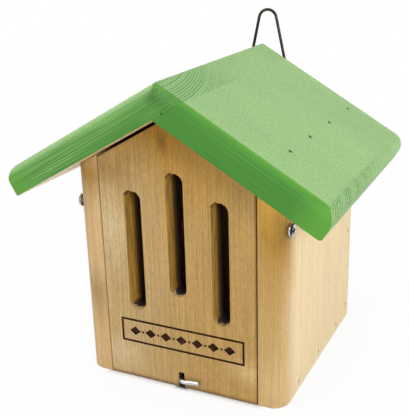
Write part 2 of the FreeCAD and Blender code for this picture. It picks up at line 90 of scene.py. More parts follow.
@dataclass(frozen=True)
class House:
    """The sizes that all boards are measured from, in metres and degrees."""

    wall: float = 18 * MM
    half_inner: float = 55 * MM
    half_depth: float = 72.5 * MM
    side_height: float = 147 * MM
    pitch: float = 30.0
    roof_board: float = 18 * MM
    floor_board: float = 12 * MM
    floor_gap: float = 0.5 * MM
    pivot_height: float = 121.5 * MM

    @property
    def half_width(self) -> float:
        """Half the outer width of the box."""
        return self.half_inner + self.wall

    @property
    def angle(self) -> float:
        """The roof's pitch in radians."""
        return math.radians(self.pitch)

    @property
    def slope(self) -> float:
        """Rise of the roof over its run."""
        return math.tan(self.angle)

    @property
    def ridge_under(self) -> float:
        """Height where the undersides of the roof boards meet."""
        return self.side_height + self.half_width * self.slope

    @property
    def ridge_top(self) -> float:
        """Height of the ridge line."""
        return self.ridge_under + self.roof_board / math.cos(self.angle)

    @property
    def under_ridge(self) -> Vector:
        """The point where the undersides of the roof boards meet, in the middle of the house."""
        return Vector((0, 0, self.ridge_under))

    @property
    def pivot(self) -> Vector:
        """The middle of the line that the front swings on."""
        return Vector((0, self.wall / 2 - self.half_depth, self.pivot_height))

    @property
    def floor_front(self) -> float:
        """Y of the floor board's front edge."""
        return self.wall - self.half_depth + self.floor_gap

    def upright(self, side: Side) -> Vector:
        """The outward direction square to one roof slope."""
        return Vector((side.value * math.sin(self.angle), 0, math.cos(self.angle)))

    def downhill(self, side: Side) -> Vector:
        """The direction from the ridge to one eave."""
        return Vector((side.value * math.cos(self.angle), 0, -math.sin(self.angle)))


def anywhere(first: Vector, second: Vector) -> bool:
    """An edge test that takes every edge."""
    return True


def in_plane(base: Point, normal: Vector) -> Test:
    """An edge test that takes the edges in one plane.

    Args:
        base: A point of the plane.
        normal: The direction square to it.
    Returns:
        The test.
    """
    base = Vector(base)
    return lambda a, b: all(abs((point - base).dot(normal)) < TOUCH for point in (a, b))


def facing(direction: Vector, share: float = 0.99) -> Test:
    """A face test that takes the faces turned a given way.

    Args:
        direction: The way they face.
        share: How nearly they face it, up to 1.
    Returns:
        The test.
    """
    return lambda centre, normal: normal.dot(direction) > share


class Bench:
    """The modelling bench: each method is one hand operation on a piece."""

    SHARP = math.radians(40)
    SMOOTH = math.radians(32)
    WELD = 0.002 * MM
    ROUND = 0.5
    DIGITS = 7

    @staticmethod
    def clear() -> None:
        """Leave edit mode and drop every selection."""
        if bpy.context.object is not None and bpy.context.object.mode != "OBJECT":
            bpy.ops.object.mode_set(mode="OBJECT")
        bpy.ops.object.select_all(action="DESELECT")

    @staticmethod
    def take(piece: Piece) -> None:
        """Make one piece the only selected and the active one.

        Args:
            piece: The piece to take.
        """
        Bench.clear()
        piece.select_set(True)
        bpy.context.view_layer.objects.active = piece

    @staticmethod
    @contextmanager
    def editing(piece: Piece) -> Iterator[None]:
        """Hold a piece in edit mode with everything on it selected.

        Args:
            piece: The piece to work on.
        """
        Bench.take(piece)
        bpy.ops.object.mode_set(mode="EDIT")
        bpy.ops.mesh.select_all(action="SELECT")
        yield
        bpy.ops.object.mode_set(mode="OBJECT")

    @staticmethod
    @contextmanager
    def picking(piece: Piece, test: Test, faces: bool = False) -> Iterator[int]:
        """Hold a piece in edit mode with only the edges or faces selected that pass a test.

        Args:
            piece: The piece to work on.
            test: Tells an edge by its two ends, or a face by its centre and its normal.
            faces: Whether faces are picked, and not edges.
        Returns:
            How many were picked.
        """
        Bench.take(piece)
        bpy.context.tool_settings.mesh_select_mode = (False, not faces, faces)
        mesh = piece.data
        for item in (*mesh.vertices, *mesh.edges, *mesh.polygons):
            item.select = False
        count = 0
        for item in mesh.polygons if faces else mesh.edges:
            if faces:
                signs = (item.center, item.normal)
            else:
                signs = (mesh.vertices[number].co for number in item.vertices)
            item.select = test(*signs)
            count += item.select
        bpy.ops.object.mode_set(mode="EDIT")
        yield count
        bpy.ops.object.mode_set(mode="OBJECT")

    @staticmethod
    def apply_place() -> None:
        """Put the selected piece's place, turn and size into its mesh."""
        bpy.ops.object.transform_apply(location=True, rotation=True, scale=True)

    @staticmethod
    def settle(name: str) -> Piece:
        """Name the newest primitive and put its place and size into its mesh.

        Args:
            name: Name of the piece and of its mesh.
        Returns:
            The piece, at the origin.
        """
        piece = bpy.context.object
        piece.name = name
        piece.data.name = name
        Bench.apply_place()
        return piece

    @staticmethod
    def place(piece: Piece, matrix: Matrix) -> None:
        """Move a piece and put its new place into its mesh.

        Args:
            piece: The piece to move.
            matrix: Where it goes.
        """
        Bench.take(piece)
        piece.matrix_world = matrix
        Bench.apply_place()

    @staticmethod
    def copy(piece: Piece, matrix: Matrix) -> Piece:
        """Copy a piece with a mesh of its own.

        Args:
            piece: The piece to copy.
            matrix: Where the copy goes.
        Returns:
            The copy.
        """
        twin = piece.copy()
        twin.data = piece.data.copy()
        bpy.context.collection.objects.link(twin)
        Bench.place(twin, matrix)
        return twin

    @staticmethod
    def block(name: str, low: Point, high: Point) -> Piece:
        """Add a block between two corners.

        Args:
            name: Name of the piece.
            low: Its lowest corner.
            high: Its highest corner.
        Returns:
            The block.
        """
        low, high = Vector(low), Vector(high)
        Bench.clear()
        bpy.ops.mesh.primitive_cube_add(size=1, location=(low + high) / 2, scale=high - low)
        return Bench.settle(name)

    @staticmethod
    def peg(name: str, radius: float, start: Point, end: Point, sides: int = 32) -> Piece:
        """Add a round peg from one point to another.

        Args:
            name: Name of the piece.
            radius: Radius of the peg.
            start: Middle of its first end.
            end: Middle of its other end.
            sides: Corners of its round.
        Returns:
            The peg.
        """
        start, end = Vector(start), Vector(end)
        length = (end - start).length
        turn = (end - start).to_track_quat("Z", "Y").to_euler()
        Bench.clear()
        bpy.ops.mesh.primitive_cylinder_add(
            vertices=sides, radius=radius, depth=length, location=(start + end) / 2, rotation=turn
        )
        return Bench.settle(name)

    @staticmethod
    def disc(name: str, radius: float, middle: Vector, sides: int, turn: float = 0.0) -> Piece:
        """Add a flat round that faces along Y.

        Args:
            name: Name of the piece.
            radius: Radius of the round.
            middle: Its middle.
            sides: Corners of the round.
            turn: How far it is turned about Y.
        Returns:
            The round.
        """
        Bench.clear()
        bpy.ops.mesh.primitive_circle_add(
            vertices=sides, radius=radius, fill_type="NGON", location=middle, rotation=(QUARTER, turn, 0)
        )
        return Bench.settle(name)

    @staticmethod
    def stamp(name: str, spot: Vector, depth: float, sides: int, reach: Pair) -> Piece:
        """Add a cutter for the front: a peg through its face, stretched across and up.

        Args:
            name: Name of the cutter.
            spot: Its middle on the face.
            depth: How deep it goes.
            sides: Corners of its outline.
            reach: Its half width and half height.
        Returns:
            The cutter.
        """
        cutter = Bench.peg(name, MM, spot - BACK * MM, spot + BACK * depth, sides)
        with Bench.editing(cutter):
            bpy.ops.transform.resize(value=(reach[0] / MM, 1, reach[1] / MM), center_override=spot)
        return cutter

    @staticmethod
    def saw(piece: Piece, point: Point, normal: Point, through: bool = True) -> None:
        """Saw along a plane.

        Args:
            piece: The piece to work on.
            point: A point of the plane.
            normal: The direction square to it, towards what comes off.
            through: Whether that part comes off, or only a line is scored round the piece.
        """
        with Bench.editing(piece):
            bpy.ops.mesh.bisect(plane_co=point, plane_no=normal, use_fill=through, clear_outer=through)

    @staticmethod
    def round_over(piece: Piece, radius: float, steps: int, test: Test) -> None:
        """Round the edges that pass a test.

        Args:
            piece: The piece to work on.
            radius: Radius of the round.
            steps: Flats that make the round.
            test: Tells an edge by its two ends.
        """
        with Bench.picking(piece, test) as count:
            if not count:
                raise ValueError(f"{piece.name} has no edge there to round")
            bpy.ops.mesh.bevel(
                offset=radius, segments=steps, profile=Bench.ROUND, affect="EDGES", clamp_overlap=False
            )

    @staticmethod
    def span(first: Vector, second: Vector) -> tuple[Triple, ...]:
        """An edge's two ends in a fixed order, as numbers to compare."""
        return tuple(sorted((first.to_tuple(Bench.DIGITS), second.to_tuple(Bench.DIGITS))))

    @staticmethod
    def ease(piece: Piece, width: float, test: Test = anywhere, steps: int = 3, finish: int = -1) -> None:
        """Take the sharpness off the sharp edges that pass a test.

        Args:
            piece: The piece to work on.
            width: Width of the eased edge.
            test: Tells an edge by its two ends.
            steps: Flats that make the eased edge.
            finish: Number of the finish that the eased edge gets, or -1 for its neighbour's.
        """
        mesh = bmesh.new()
        mesh.from_mesh(piece.data)
        sharp = {
            Bench.span(*(vertex.co for vertex in edge.verts))
            for edge in mesh.edges
            if len(edge.link_faces) == 2 and edge.calc_face_angle() > Bench.SHARP
        }
        mesh.free()
        with Bench.picking(piece, lambda a, b: Bench.span(a, b) in sharp and test(a, b)):
            bpy.ops.mesh.bevel(
                offset=width, segments=steps, profile=Bench.ROUND, affect="EDGES",
                clamp_overlap=True, material=finish,
            )

    @staticmethod
    def swing(angle: float, centre: Vector, axis: Vector, steps: int) -> None:
        """Draw the selected face round a bend, by the right-hand rule about the axis.

        Args:
            angle: Turn of the bend.
            centre: A point on the axis.
            axis: Direction of the axis; the operator turns the other way, so it is given the opposite.
            steps: Sections of the bend.
        """
        bpy.ops.mesh.spin(steps=steps, angle=angle, center=centre, axis=-axis)

    @staticmethod
    def draw(step: Vector) -> None:
        """Draw the selected face straight out."""
        bpy.ops.mesh.extrude_region_move(TRANSFORM_OT_translate={"value": step})

    @staticmethod
    def carve(piece: Piece, cutter: Piece, finish: Union[Finish, None] = None) -> None:
        """Cut one shape out of a piece and throw the cutter away.

        Args:
            piece: The piece to work on.
            cutter: The shape to cut out.
            finish: The finish of the cut faces, where it isn't the piece's own.
        """
        if finish is not None:
            cutter.data.materials.append(finish)
        Bench.take(piece)
        cut = piece.modifiers.new("cut", "BOOLEAN")
        cut.operation = "DIFFERENCE"
        cut.solver = "EXACT"
        cut.material_mode = "TRANSFER" if finish is not None else "INDEX"
        cut.object = cutter
        bpy.ops.object.modifier_apply(modifier=cut.name)
        bpy.data.objects.remove(cutter, do_unlink=True)

    @staticmethod
    def clothe(piece: Piece, *finishes: Finish) -> None:
        """Give a piece its finishes and put the first one on every face.

        Args:
            piece: The piece to work on.
            finishes: Its finishes, in order.
        """
        piece.data.materials.clear()
        for finish in finishes:
            piece.data.materials.append(finish)
        for face in piece.data.polygons:
            face.material_index = 0

    @staticmethod
    def paint(piece: Piece, number: int, test: Test) -> None:
        """Put another of a piece's finishes on some of its faces.

        Args:
            piece: The piece to work on.
            number: Number of the finish.
            test: Tells a face by its centre and its normal.
        """
        with Bench.picking(piece, test, faces=True):
            piece.active_material_index = number
            bpy.ops.object.material_slot_assign()

    @staticmethod
    def join(name: str, pieces: Sequence[Piece]) -> Piece:
        """Join several pieces into one.

        Args:
            name: Name of the joined piece.
            pieces: The pieces, of which the first takes in the others.
        Returns:
            The joined piece.
        """
        Bench.take(pieces[0])
        for piece in pieces:
            piece.select_set(True)
        bpy.ops.object.join()
        pieces[0].name = name
        pieces[0].data.name = name
        return pieces[0]

    @staticmethod
    def tidy(piece: Piece) -> None:
        """Merge doubled points, turn all faces outwards and smooth the rounds while flats stay flat.

        Args:
            piece: The piece to work on.
        """
        with Bench.editing(piece):
            bpy.ops.mesh.remove_doubles(threshold=Bench.WELD)
            bpy.ops.mesh.normals_make_consistent(inside=False)
        bpy.ops.object.shade_smooth_by_angle(angle=Bench.SMOOTH)
        level = piece.modifiers.new("flats", "WEIGHTED_NORMAL")
        level.keep_sharp = True
        bpy.ops.object.modifier_apply(modifier=level.name)

    @staticmethod
    def hand_over(piece: Piece, body: Body, slot: str, node: str) -> None:
        """Set a finished piece on its body in place of the CAD node that it stands for.

        Args:
            piece: The finished piece.
            body: The body it rides on.
            slot: Name of a material slot; not used.
            node: The CAD node it replaces.
        """
        Bench.tidy(piece)
        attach(piece, body.value)
        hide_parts(node)
        LOG.info("%s: %d faces on %s", piece.name, len(piece.data.polygons), body.value)


class Recipe:
    """The node tree of one material or of the world, written down node by node."""

    def __init__(self, owner: Union[Finish, bpy.types.World], clamp: bool = False) -> None:
        """Start an empty tree.

        Args:
            owner: The material or world that the tree is for.
            clamp: Whether its sums are kept between 0 and 1.
        """
        owner.use_nodes = True
        self.owner = owner
        self.clamp = clamp
        self.tree = owner.node_tree
        self.tree.nodes.clear()

    def node(self, kind: str, inputs: dict[Union[int, str], object], **settings: object) -> bpy.types.Node:
        """Add one node.

        Args:
            kind: Its type, without the ShaderNode at the front.
            inputs: A value or a socket for each input, by name or number.
            settings: Its own settings.
        Returns:
            The node.
        """
        made = self.tree.nodes.new(f"ShaderNode{kind}")
        for name, value in settings.items():
            setattr(made, name, value)
        for key, value in inputs.items():
            if isinstance(value, Socket):
                self.tree.links.new(value, made.inputs[key])
            else:
                made.inputs[key].default_value = value
        return made

    def where(self, kind: str = "Object") -> Socket:
        """Each point's place in metres, or another of the texture coordinates."""
        return self.node("TexCoord", {}).outputs[kind]

    def part(self, vector: Socket, axis: Union[int, str]) -> Socket:
        """One part of a vector."""
        return self.node("SeparateXYZ", {0: vector}).outputs[axis]

    def sum(self, operation: str, *terms: object) -> Socket:
        """Work out one sum and return its socket."""
        inputs = dict(enumerate(terms))
        return self.node("Math", inputs, operation=operation, use_clamp=self.clamp).outputs[0]

    def between(self, value: Socket, start: float, end: float) -> Socket:
        """How far a value has come from a start, which gives 0, to an end, which gives 1."""
        return self.sum("MULTIPLY_ADD", value, 1 / (end - start), -start / (end - start))

    def vector(self, operation: str, *terms: object) -> bpy.types.Node:
        """Work out one sum of vectors and return its node."""
        return self.node("VectorMath", dict(enumerate(terms)), operation=operation)

    def stretch(self, place: Socket, scale: Triple, shift: Triple = (0, 0, 0)) -> Socket:
        """Stretch and shift a place."""
        return self.node("Mapping", {"Vector": place, "Scale": scale, "Location": shift}).outputs[0]

    def noise(self, place: Socket, scale: Union[float, Triple], detail: float = 2.0) -> Socket:
        """Add a noise.

        Args:
            place: Where each point lies.
            scale: How fine the noise is, all over or along each axis.
            detail: How many finer layers it has.
        Returns:
            Its value.
        """
        if isinstance(scale, tuple):
            place, scale = self.stretch(place, scale), 1.0
        return self.node("TexNoise", {"Vector": place, "Scale": scale, "Detail": detail}).outputs[0]

    def ramp(self, value: Socket, *stops: Pair) -> Socket:
        """Turn a value into another along a line of stops.

        Args:
            value: The value to read.
            stops: Places on the line and the grey at each.
        Returns:
            The new value.
        """
        node = self.node("ValToRGB", {"Fac": value})
        line = node.color_ramp.elements
        while len(line) < len(stops):
            line.new(0.5)
        for element, (place, grey) in zip(line, stops):
            element.position = place
            element.color = (grey, grey, grey, 1)
        return node.outputs[0]

    def blend(self, share: object, first: object, second: object, kind: str = "MIX") -> Socket:
        """Blend two colours.

        Args:
            share: How much of the second colour shows.
            first: A colour or its socket.
            second: A colour or its socket.
            kind: Blend type.
        Returns:
            The blended colour.
        """
        first, second = (part if isinstance(part, Socket) else (*part, 1) for part in (first, second))
        inputs = {0: share, 6: first, 7: second}
        return self.node("Mix", inputs, data_type="RGBA", blend_type=kind, clamp_factor=True).outputs[2]

    def tint(self, colour: object, grey: Socket) -> Socket:
        """Make a colour lighter or darker by a grey."""
        return self.blend(1.0, colour, grey, "MULTIPLY")

    def finish(self, relief: Socket, strength: float, depth: float, **sockets: object) -> Finish:
        """Close the material with one Principled shader.

        Args:
            relief: Height of the surface, from 0 to 1.
            strength: How strongly the relief shows.
            depth: Depth of the relief in millimetres.
            sockets: A value or socket for each of the shader's inputs, spaces in the names as underscores.
        Returns:
            The material.
        """
        bump = self.node("Bump", {"Height": relief, "Strength": strength, "Distance": depth * MM})
        inputs = {key.replace("_", " "): value for key, value in sockets.items()}
        shader = self.node("BsdfPrincipled", {"Normal": bump.outputs[0], **inputs})
        self.node("OutputMaterial", {"Surface": shader.outputs[0]})
        return self.owner


@dataclass(frozen=True)
class Sawing:
    """How a board was sawn from its log; the log stands along Z before the turn, in millimetres."""

    pith: Pair = (-140.0, 95.0)
    ring: float = 2.6
    turn: Triple = (0.0, 0.0, 0.0)
    shift: float = 0.0
    sway: float = 3.0


@dataclass(frozen=True)
class Grain:
    """The sockets of one board's grain: places in the log in millimetres, the rest from 0 to 1."""

    place: Socket
    late: Socket
    fibre: Socket
    cloud: Socket
    relief: Socket


def grow(recipe: Recipe, sawing: Sawing) -> Grain:
    """Grow the rings and fibres of a log through a material.

    Args:
        recipe: The material to write in.
        sawing: How the board was sawn.
    Returns:
        The grain's sockets.
    """
    turn = tuple(math.radians(angle) for angle in sawing.turn)
    mapped = {"Vector": recipe.where(), "Scale": (1 / MM, 1 / MM, 1 / MM), "Rotation": turn}
    mapped["Location"] = (-sawing.pith[0], -sawing.pith[1], sawing.shift)
    place = recipe.node("Mapping", mapped).outputs[0]
    flat = recipe.vector("MULTIPLY", place, (1, 1, 0)).outputs[0]
    radius = recipe.vector("LENGTH", flat).outputs["Value"]
    sway = recipe.noise(place, (0.022, 0.022, 0.006))
    bent = recipe.sum("MULTIPLY_ADD", sway, sawing.sway * 2, radius)
    jitter = recipe.noise(place, (0.25, 0.25, 0.02))
    age = recipe.sum("DIVIDE", recipe.sum("MULTIPLY_ADD", jitter, 0.9, bent), sawing.ring)
    whole_years = recipe.sum("FLOOR", age)
    year = recipe.node("TexWhiteNoise", {"W": whole_years}, noise_dimensions="1D").outputs["Value"]
    season = recipe.sum("FRACT", age)
    profile = recipe.ramp(season, (0.0, 0.05), (0.45, 0.2), (0.8, 0.85), (0.9, 1.0), (1.0, 0.05))
    late = recipe.sum("MULTIPLY", profile, recipe.sum("MULTIPLY_ADD", year, 0.75, 0.25))
    fibre = recipe.noise(place, (1.1, 1.1, 0.02), 4.0)
    cloud = recipe.noise(place, (0.03, 0.03, 0.012), 3.0)
    relief = recipe.sum("MULTIPLY_ADD", fibre, 0.6, recipe.sum("MULTIPLY", late, 0.5))
    return Grain(place, late, fibre, cloud, relief)


@dataclass(frozen=True)
class Patch:
    """A knot, or a darker or lighter patch, in a board: its middle and reach in millimetres."""

    middle: Triple
    reach: Triple
    colour: Triple
    share: float = 0.8

    def laid(self, recipe: Recipe, place: Socket, colour: Socket) -> Socket:
        """Lay the patch over a colour.

        Args:
            recipe: The material to write in.
            place: Where each point lies, in millimetres.
            colour: The colour without the patch.
        Returns:
            The colour with it.
        """
        scale = tuple(1 / reach for reach in self.reach)
        shift = tuple(-middle / reach for middle, reach in zip(self.middle, self.reach))
        near = recipe.stretch(place, scale, shift)
        ragged = recipe.noise(near, 1.3, 3.0)
        far = recipe.vector("LENGTH", near).outputs["Value"]
        reached = recipe.sum("MULTIPLY", recipe.sum("MULTIPLY_ADD", ragged, 0.9, far), 0.5)
        return recipe.blend(recipe.ramp(reached, (0.3, self.share), (0.72, 0.0)), colour, self.colour)


@dataclass(frozen=True)
class Fade:
    """A second colour that a board fades to, between two places in millimetres along one axis."""

    axis: str
    start: float
    end: float
    colour: Triple
    ring_tone: float = 0.76

    def laid(self, recipe: Recipe, spot: Socket, rings: Socket, colour: Socket) -> Socket:
        """Fade a colour to the second one, which shows the same rings more faintly.

        Args:
            recipe: The material to write in.
            spot: Where each point lies, in metres.
            rings: How much of the late wood shows.
            colour: The first colour.
        Returns:
            The colour that fades.
        """
        reached = recipe.between(recipe.part(spot, self.axis), self.start * MM, self.end * MM)
        share = recipe.ramp(reached, (0.0, 0.0), (0.35, 0.3), (0.65, 0.75), (1.0, 1.0))
        dark = tuple(part * self.ring_tone for part in self.colour)
        return recipe.blend(share, colour, recipe.blend(rings, self.colour, dark))


@dataclass(frozen=True)
class Pine:
    """Oiled pine: pale early wood, darker late wood, fibres and warm cloudy tones."""

    name: str
    sawing: Sawing
    early: Triple = (0.5, 0.335, 0.13)
    late: Triple = (0.37, 0.205, 0.06)
    warm: Triple = (0.45, 0.265, 0.085)
    ring_share: float = 0.55
    warmth: float = 0.5
    figure: float = 1.0
    fade: Union[Fade, None] = None
    patches: tuple[Patch, ...] = ()

    def material(self) -> Finish:
        """Write the finish as a material.

        Returns:
            The material.
        """
        recipe = Recipe(bpy.data.materials.new(self.name))
        grain = grow(recipe, self.sawing)
        spot = recipe.where()
        warm = recipe.ramp(grain.cloud, (0.38, 0.0), (0.66, 1.0))
        rings = recipe.sum("MULTIPLY", grain.late, self.ring_share)
        colour = recipe.blend(recipe.sum("MULTIPLY", warm, self.warmth), self.early, self.warm)
        colour = recipe.blend(rings, colour, self.late)
        if self.fade is not None:
            colour = self.fade.laid(recipe, spot, rings, colour)
        place = recipe.stretch(spot, (1 / MM, 1 / MM, 1 / MM))
        for patch in self.patches:
            colour = patch.laid(recipe, place, colour)
        figure = self.figure
        streak = (0.25, 1 - 0.24 * figure), (0.5, 1.0), (0.75, 1 + 0.2 * figure)
        colour = recipe.tint(colour, recipe.ramp(grain.fibre, *streak))
        fleck = (0.3, 1 - 0.15 * figure), (0.7, 1 + 0.13 * figure)
        colour = recipe.tint(colour, recipe.ramp(recipe.noise(grain.place, (1.5, 1.5, 0.3)), *fleck))
        rough = recipe.sum("MULTIPLY_ADD", grain.fibre, 0.2, 0.38)
        return recipe.finish(
            grain.relief, 0.25, 0.4, Base_Color=colour, Roughness=rough, Specular_IOR_Level=0.3
        )


@dataclass(frozen=True)
class RoutedWood:
    """The fuzzy wood of a routed slot, with painted shade that darkens it inward to near black, less deep
    in the left-hand slot, and painted light on the upward-facing sill at its mouth.
    """

    name: str
    mouth: Triple = (0.385, 0.212, 0.029)
    # painted shade: the near black that the walls and the sill darken to further in
    inside: Triple = (0.033, 0.017, 0.015)
    # painted light: the pale of the upward-facing sill where light falls on it near the mouth
    sill: Triple = (0.47, 0.32, 0.13)
    depth: Pair = (-73.0, -56.0)
    lit: float = 0.2
    lit_edge: Pair = (-25.0, -15.0)

    def material(self) -> Finish:
        """Write the finish as a material.

        Returns:
            The material.
        """
        recipe = Recipe(bpy.data.materials.new(self.name))
        spot = recipe.where()
        start, end = self.depth
        fuzz = recipe.noise(spot, (700.0, 700.0, 60.0), 4.0)
        reached = recipe.between(recipe.part(spot, "Y"), start * MM, end * MM)
        reached = recipe.sum("MULTIPLY_ADD", fuzz, 0.3, recipe.sum("SUBTRACT", reached, 0.15))
        across = recipe.between(recipe.part(spot, "X"), self.lit_edge[0] * MM, self.lit_edge[1] * MM)
        # painted light: in the left-hand slot the walls stay lit deeper in
        shaded = recipe.sum("SUBTRACT", reached, recipe.ramp(across, (0.0, self.lit), (1.0, 0.0)))
        wall = recipe.tint(self.mouth, recipe.ramp(fuzz, (0.3, 0.5), (0.7, 1.4)))
        # painted shade: the walls darken inward from the mouth colour to near black
        wall = recipe.blend(recipe.ramp(shaded, (0.47, 0.0), (0.62, 0.7), (1.0, 1.0)), wall, self.inside)
        fibre = recipe.noise(spot, (420.0, 200.0, 60.0))
        ragged = recipe.sum("MULTIPLY_ADD", fibre, 0.8, recipe.sum("SUBTRACT", reached, 0.4))
        # painted light on the sill near the mouth, going over to painted shade further in
        floor = recipe.blend(recipe.ramp(ragged, (0.21, 0.0), (0.27, 1.0)), self.sill, self.inside)
        level = recipe.ramp(recipe.part(recipe.where("Normal"), "Z"), (0.3, 0.0), (0.7, 1.0))
        colour = recipe.blend(level, wall, floor)
        return recipe.finish(fuzz, 0.5, 0.5, Base_Color=colour, Roughness=0.85)


@dataclass(frozen=True)
class GreenStain:
    """Satin green stain, deep on the front edges, with a painted pale sheen on the slopes and painted light
    on the front rounds and towards the eave, and soaked into the end grain.
    """

    name: str
    sawing: Sawing
    axis: Triple
    deep: Triple = (0.038, 0.176, 0.018)
    light: Triple = (0.1, 0.31, 0.046)
    # painted light: the lighter green of the front round and of the front edge towards the eave
    crest: Triple = (0.095, 0.31, 0.031)
    # painted sheen: the pale of the slopes, a reflection painted into the colour
    bleached: Triple = (0.28, 0.46, 0.182)
    soaked: Triple = (0.065, 0.185, 0.03)
    line_tone: float = 0.45
    streaks: float = 0.5
    lines: float = 0.4
    torn: float = 0.3
    end_grain: Pair = (0.1, 0.4)
    end_fade: Pair = (0.2, 0.52)
    # how far a face turns to the front or back where the painted sheen gives way to the edge colour
    bleach_edge: Pair = (0.05, 0.15)
    # where the painted light on the front edge grows, along the log in millimetres
    fresh_end: Pair = (2.0, -16.0)
    patches: tuple[Patch, ...] = ()

    def material(self) -> Finish:
        """Write the finish as a material.

        Returns:
            The material.
        """
        recipe = Recipe(bpy.data.materials.new(self.name))
        grain = grow(recipe, self.sawing)
        normal = recipe.where("Normal")
        ahead = recipe.sum("ABSOLUTE", recipe.part(normal, "Y"))
        # painted sheen: faces turned away from front and back, and those leaning left, take the pale slope
        # colour; the rest keep the edge colour
        kept = recipe.ramp(ahead, (self.bleach_edge[0], 0.0), (self.bleach_edge[1], 1.0))
        leaning_left = recipe.sum("MULTIPLY", recipe.part(normal, "X"), -1.0)
        kept = recipe.sum("MINIMUM", kept, recipe.ramp(leaning_left, (0.12, 1.0), (0.42, 0.0)))
        colour = recipe.blend(kept, self.slope(recipe, grain, normal), self.edge(recipe, grain, ahead))
        rough = recipe.sum("MULTIPLY_ADD", grain.fibre, 0.2, 0.45)
        return recipe.finish(
            grain.relief, 0.3, 0.4, Base_Color=colour, Roughness=rough, Specular_IOR_Level=0.3
        )

    def edge(self, recipe: Recipe, grain: Grain, ahead: Socket) -> Socket:
        """Colour the front edge: streaked and deep, with painted light on its round and towards the eave.

        Args:
            recipe: The material to write in.
            grain: The board's grain.
            ahead: How far each point faces the front or the back.
        Returns:
            The colour.
        """
        brush = recipe.noise(grain.place, (2.2, 2.2, 0.012), 3.0)
        streak = recipe.sum("MULTIPLY", recipe.ramp(brush, (0.38, 0.0), (0.64, 1.0)), self.streaks)
        face = recipe.blend(streak, self.deep, self.light)
        reached = recipe.between(recipe.part(grain.place, "Z"), *self.fresh_end)
        # painted light: the round, turned up from the front, and the edge towards the eave take the lit
        # colour
        turned = recipe.ramp(ahead, (0.2, 1.0), (0.75, 0.0))
        lit_share = recipe.sum("MAXIMUM", turned, recipe.ramp(reached, (0.0, 0.0), (1.0, 0.8)))
        face = recipe.blend(lit_share, face, self.crest)
        dark = tuple(part * self.line_tone for part in self.deep)
        face = recipe.blend(recipe.sum("MULTIPLY", grain.late, self.lines), face, dark)
        for patch in self.patches:
            face = patch.laid(recipe, grain.place, face)
        return face

    def slope(self, recipe: Recipe, grain: Grain, normal: Socket) -> Socket:
        """Colour the slope, painted pale as a sheen, with darker rings where the end grain shows.

        Args:
            recipe: The material to write in.
            grain: The board's grain.
            normal: The way each point faces.
        Returns:
            The colour.
        """
        mottle = recipe.ramp(grain.cloud, (0.3, 0.94), (0.7, 1.06))
        pores = recipe.ramp(recipe.noise(grain.place, (1.3, 1.3, 0.9), 4.0), (0.3, 0.74), (0.7, 1.24))
        pale = recipe.tint(recipe.tint(self.bleached, mottle), pores)
        along = recipe.sum("ABSOLUTE", recipe.vector("DOT_PRODUCT", normal, self.axis).outputs["Value"])
        cut = recipe.ramp(along, (self.end_grain[0], 0.0), (self.end_grain[1], 1.0))
        breaks = recipe.noise(grain.place, (0.9, 0.9, 0.9))
        whole = recipe.ramp(breaks, (0.4, 1 - self.torn), (0.52, 1.0))
        bold = recipe.sum("MINIMUM", recipe.sum("MULTIPLY", grain.late, 2.0), 1.0)
        rings = recipe.sum("MULTIPLY", bold, whole)
        backwards = recipe.sum("MULTIPLY_ADD", recipe.part(recipe.where(), "Y"), 5.0, 0.5)
        forward = recipe.ramp(backwards, (self.end_fade[0], 1.0), (self.end_fade[1], 0.1))
        share = recipe.sum("MULTIPLY", recipe.sum("MULTIPLY", rings, cut), forward)
        return recipe.blend(share, pale, self.soaked)


@dataclass(frozen=True)
class Metal:
    """Plated or drawn metal with fine handling marks and dull patches."""

    name: str
    bright: Triple
    dull: Triple
    rough: Pair = (0.2, 0.4)
    grit: float = 900.0

    def material(self) -> Finish:
        """Write the finish as a material.

        Returns:
            The material.
        """
        recipe = Recipe(bpy.data.materials.new(self.name))
        marks = recipe.noise(recipe.where(), self.grit, 4.0)
        share = recipe.ramp(marks, (0.4, 0.0), (0.65, 1.0))
        colour = recipe.blend(share, self.bright, self.dull)
        rough = recipe.sum("MULTIPLY_ADD", share, self.rough[1] - self.rough[0], self.rough[0])
        return recipe.finish(marks, 0.12, 0.1, Base_Color=colour, Metallic=1.0, Roughness=rough)


@dataclass(frozen=True)
class Scorch:
    """Wood burned dark with a hot iron, browner where the iron bit less."""

    name: str = "scorched_pine"
    char: Triple = (0.016, 0.006, 0.002)
    brown: Triple = (0.06, 0.022, 0.007)
    grain: float = 260.0

    def material(self) -> Finish:
        """Write the finish as a material.

        Returns:
            The material.
        """
        recipe = Recipe(bpy.data.materials.new(self.name))
        bite = recipe.ramp(recipe.noise(recipe.where(), self.grain, 4.0), (0.42, 0.0), (0.75, 1.0))
        colour = recipe.blend(bite, self.char, self.brown)
        rough = recipe.sum("MULTIPLY_ADD", bite, -0.2, 0.85)
        return recipe.finish(bite, 0.3, 0.1, Base_Color=colour, Roughness=rough, Specular_IOR_Level=0.1)


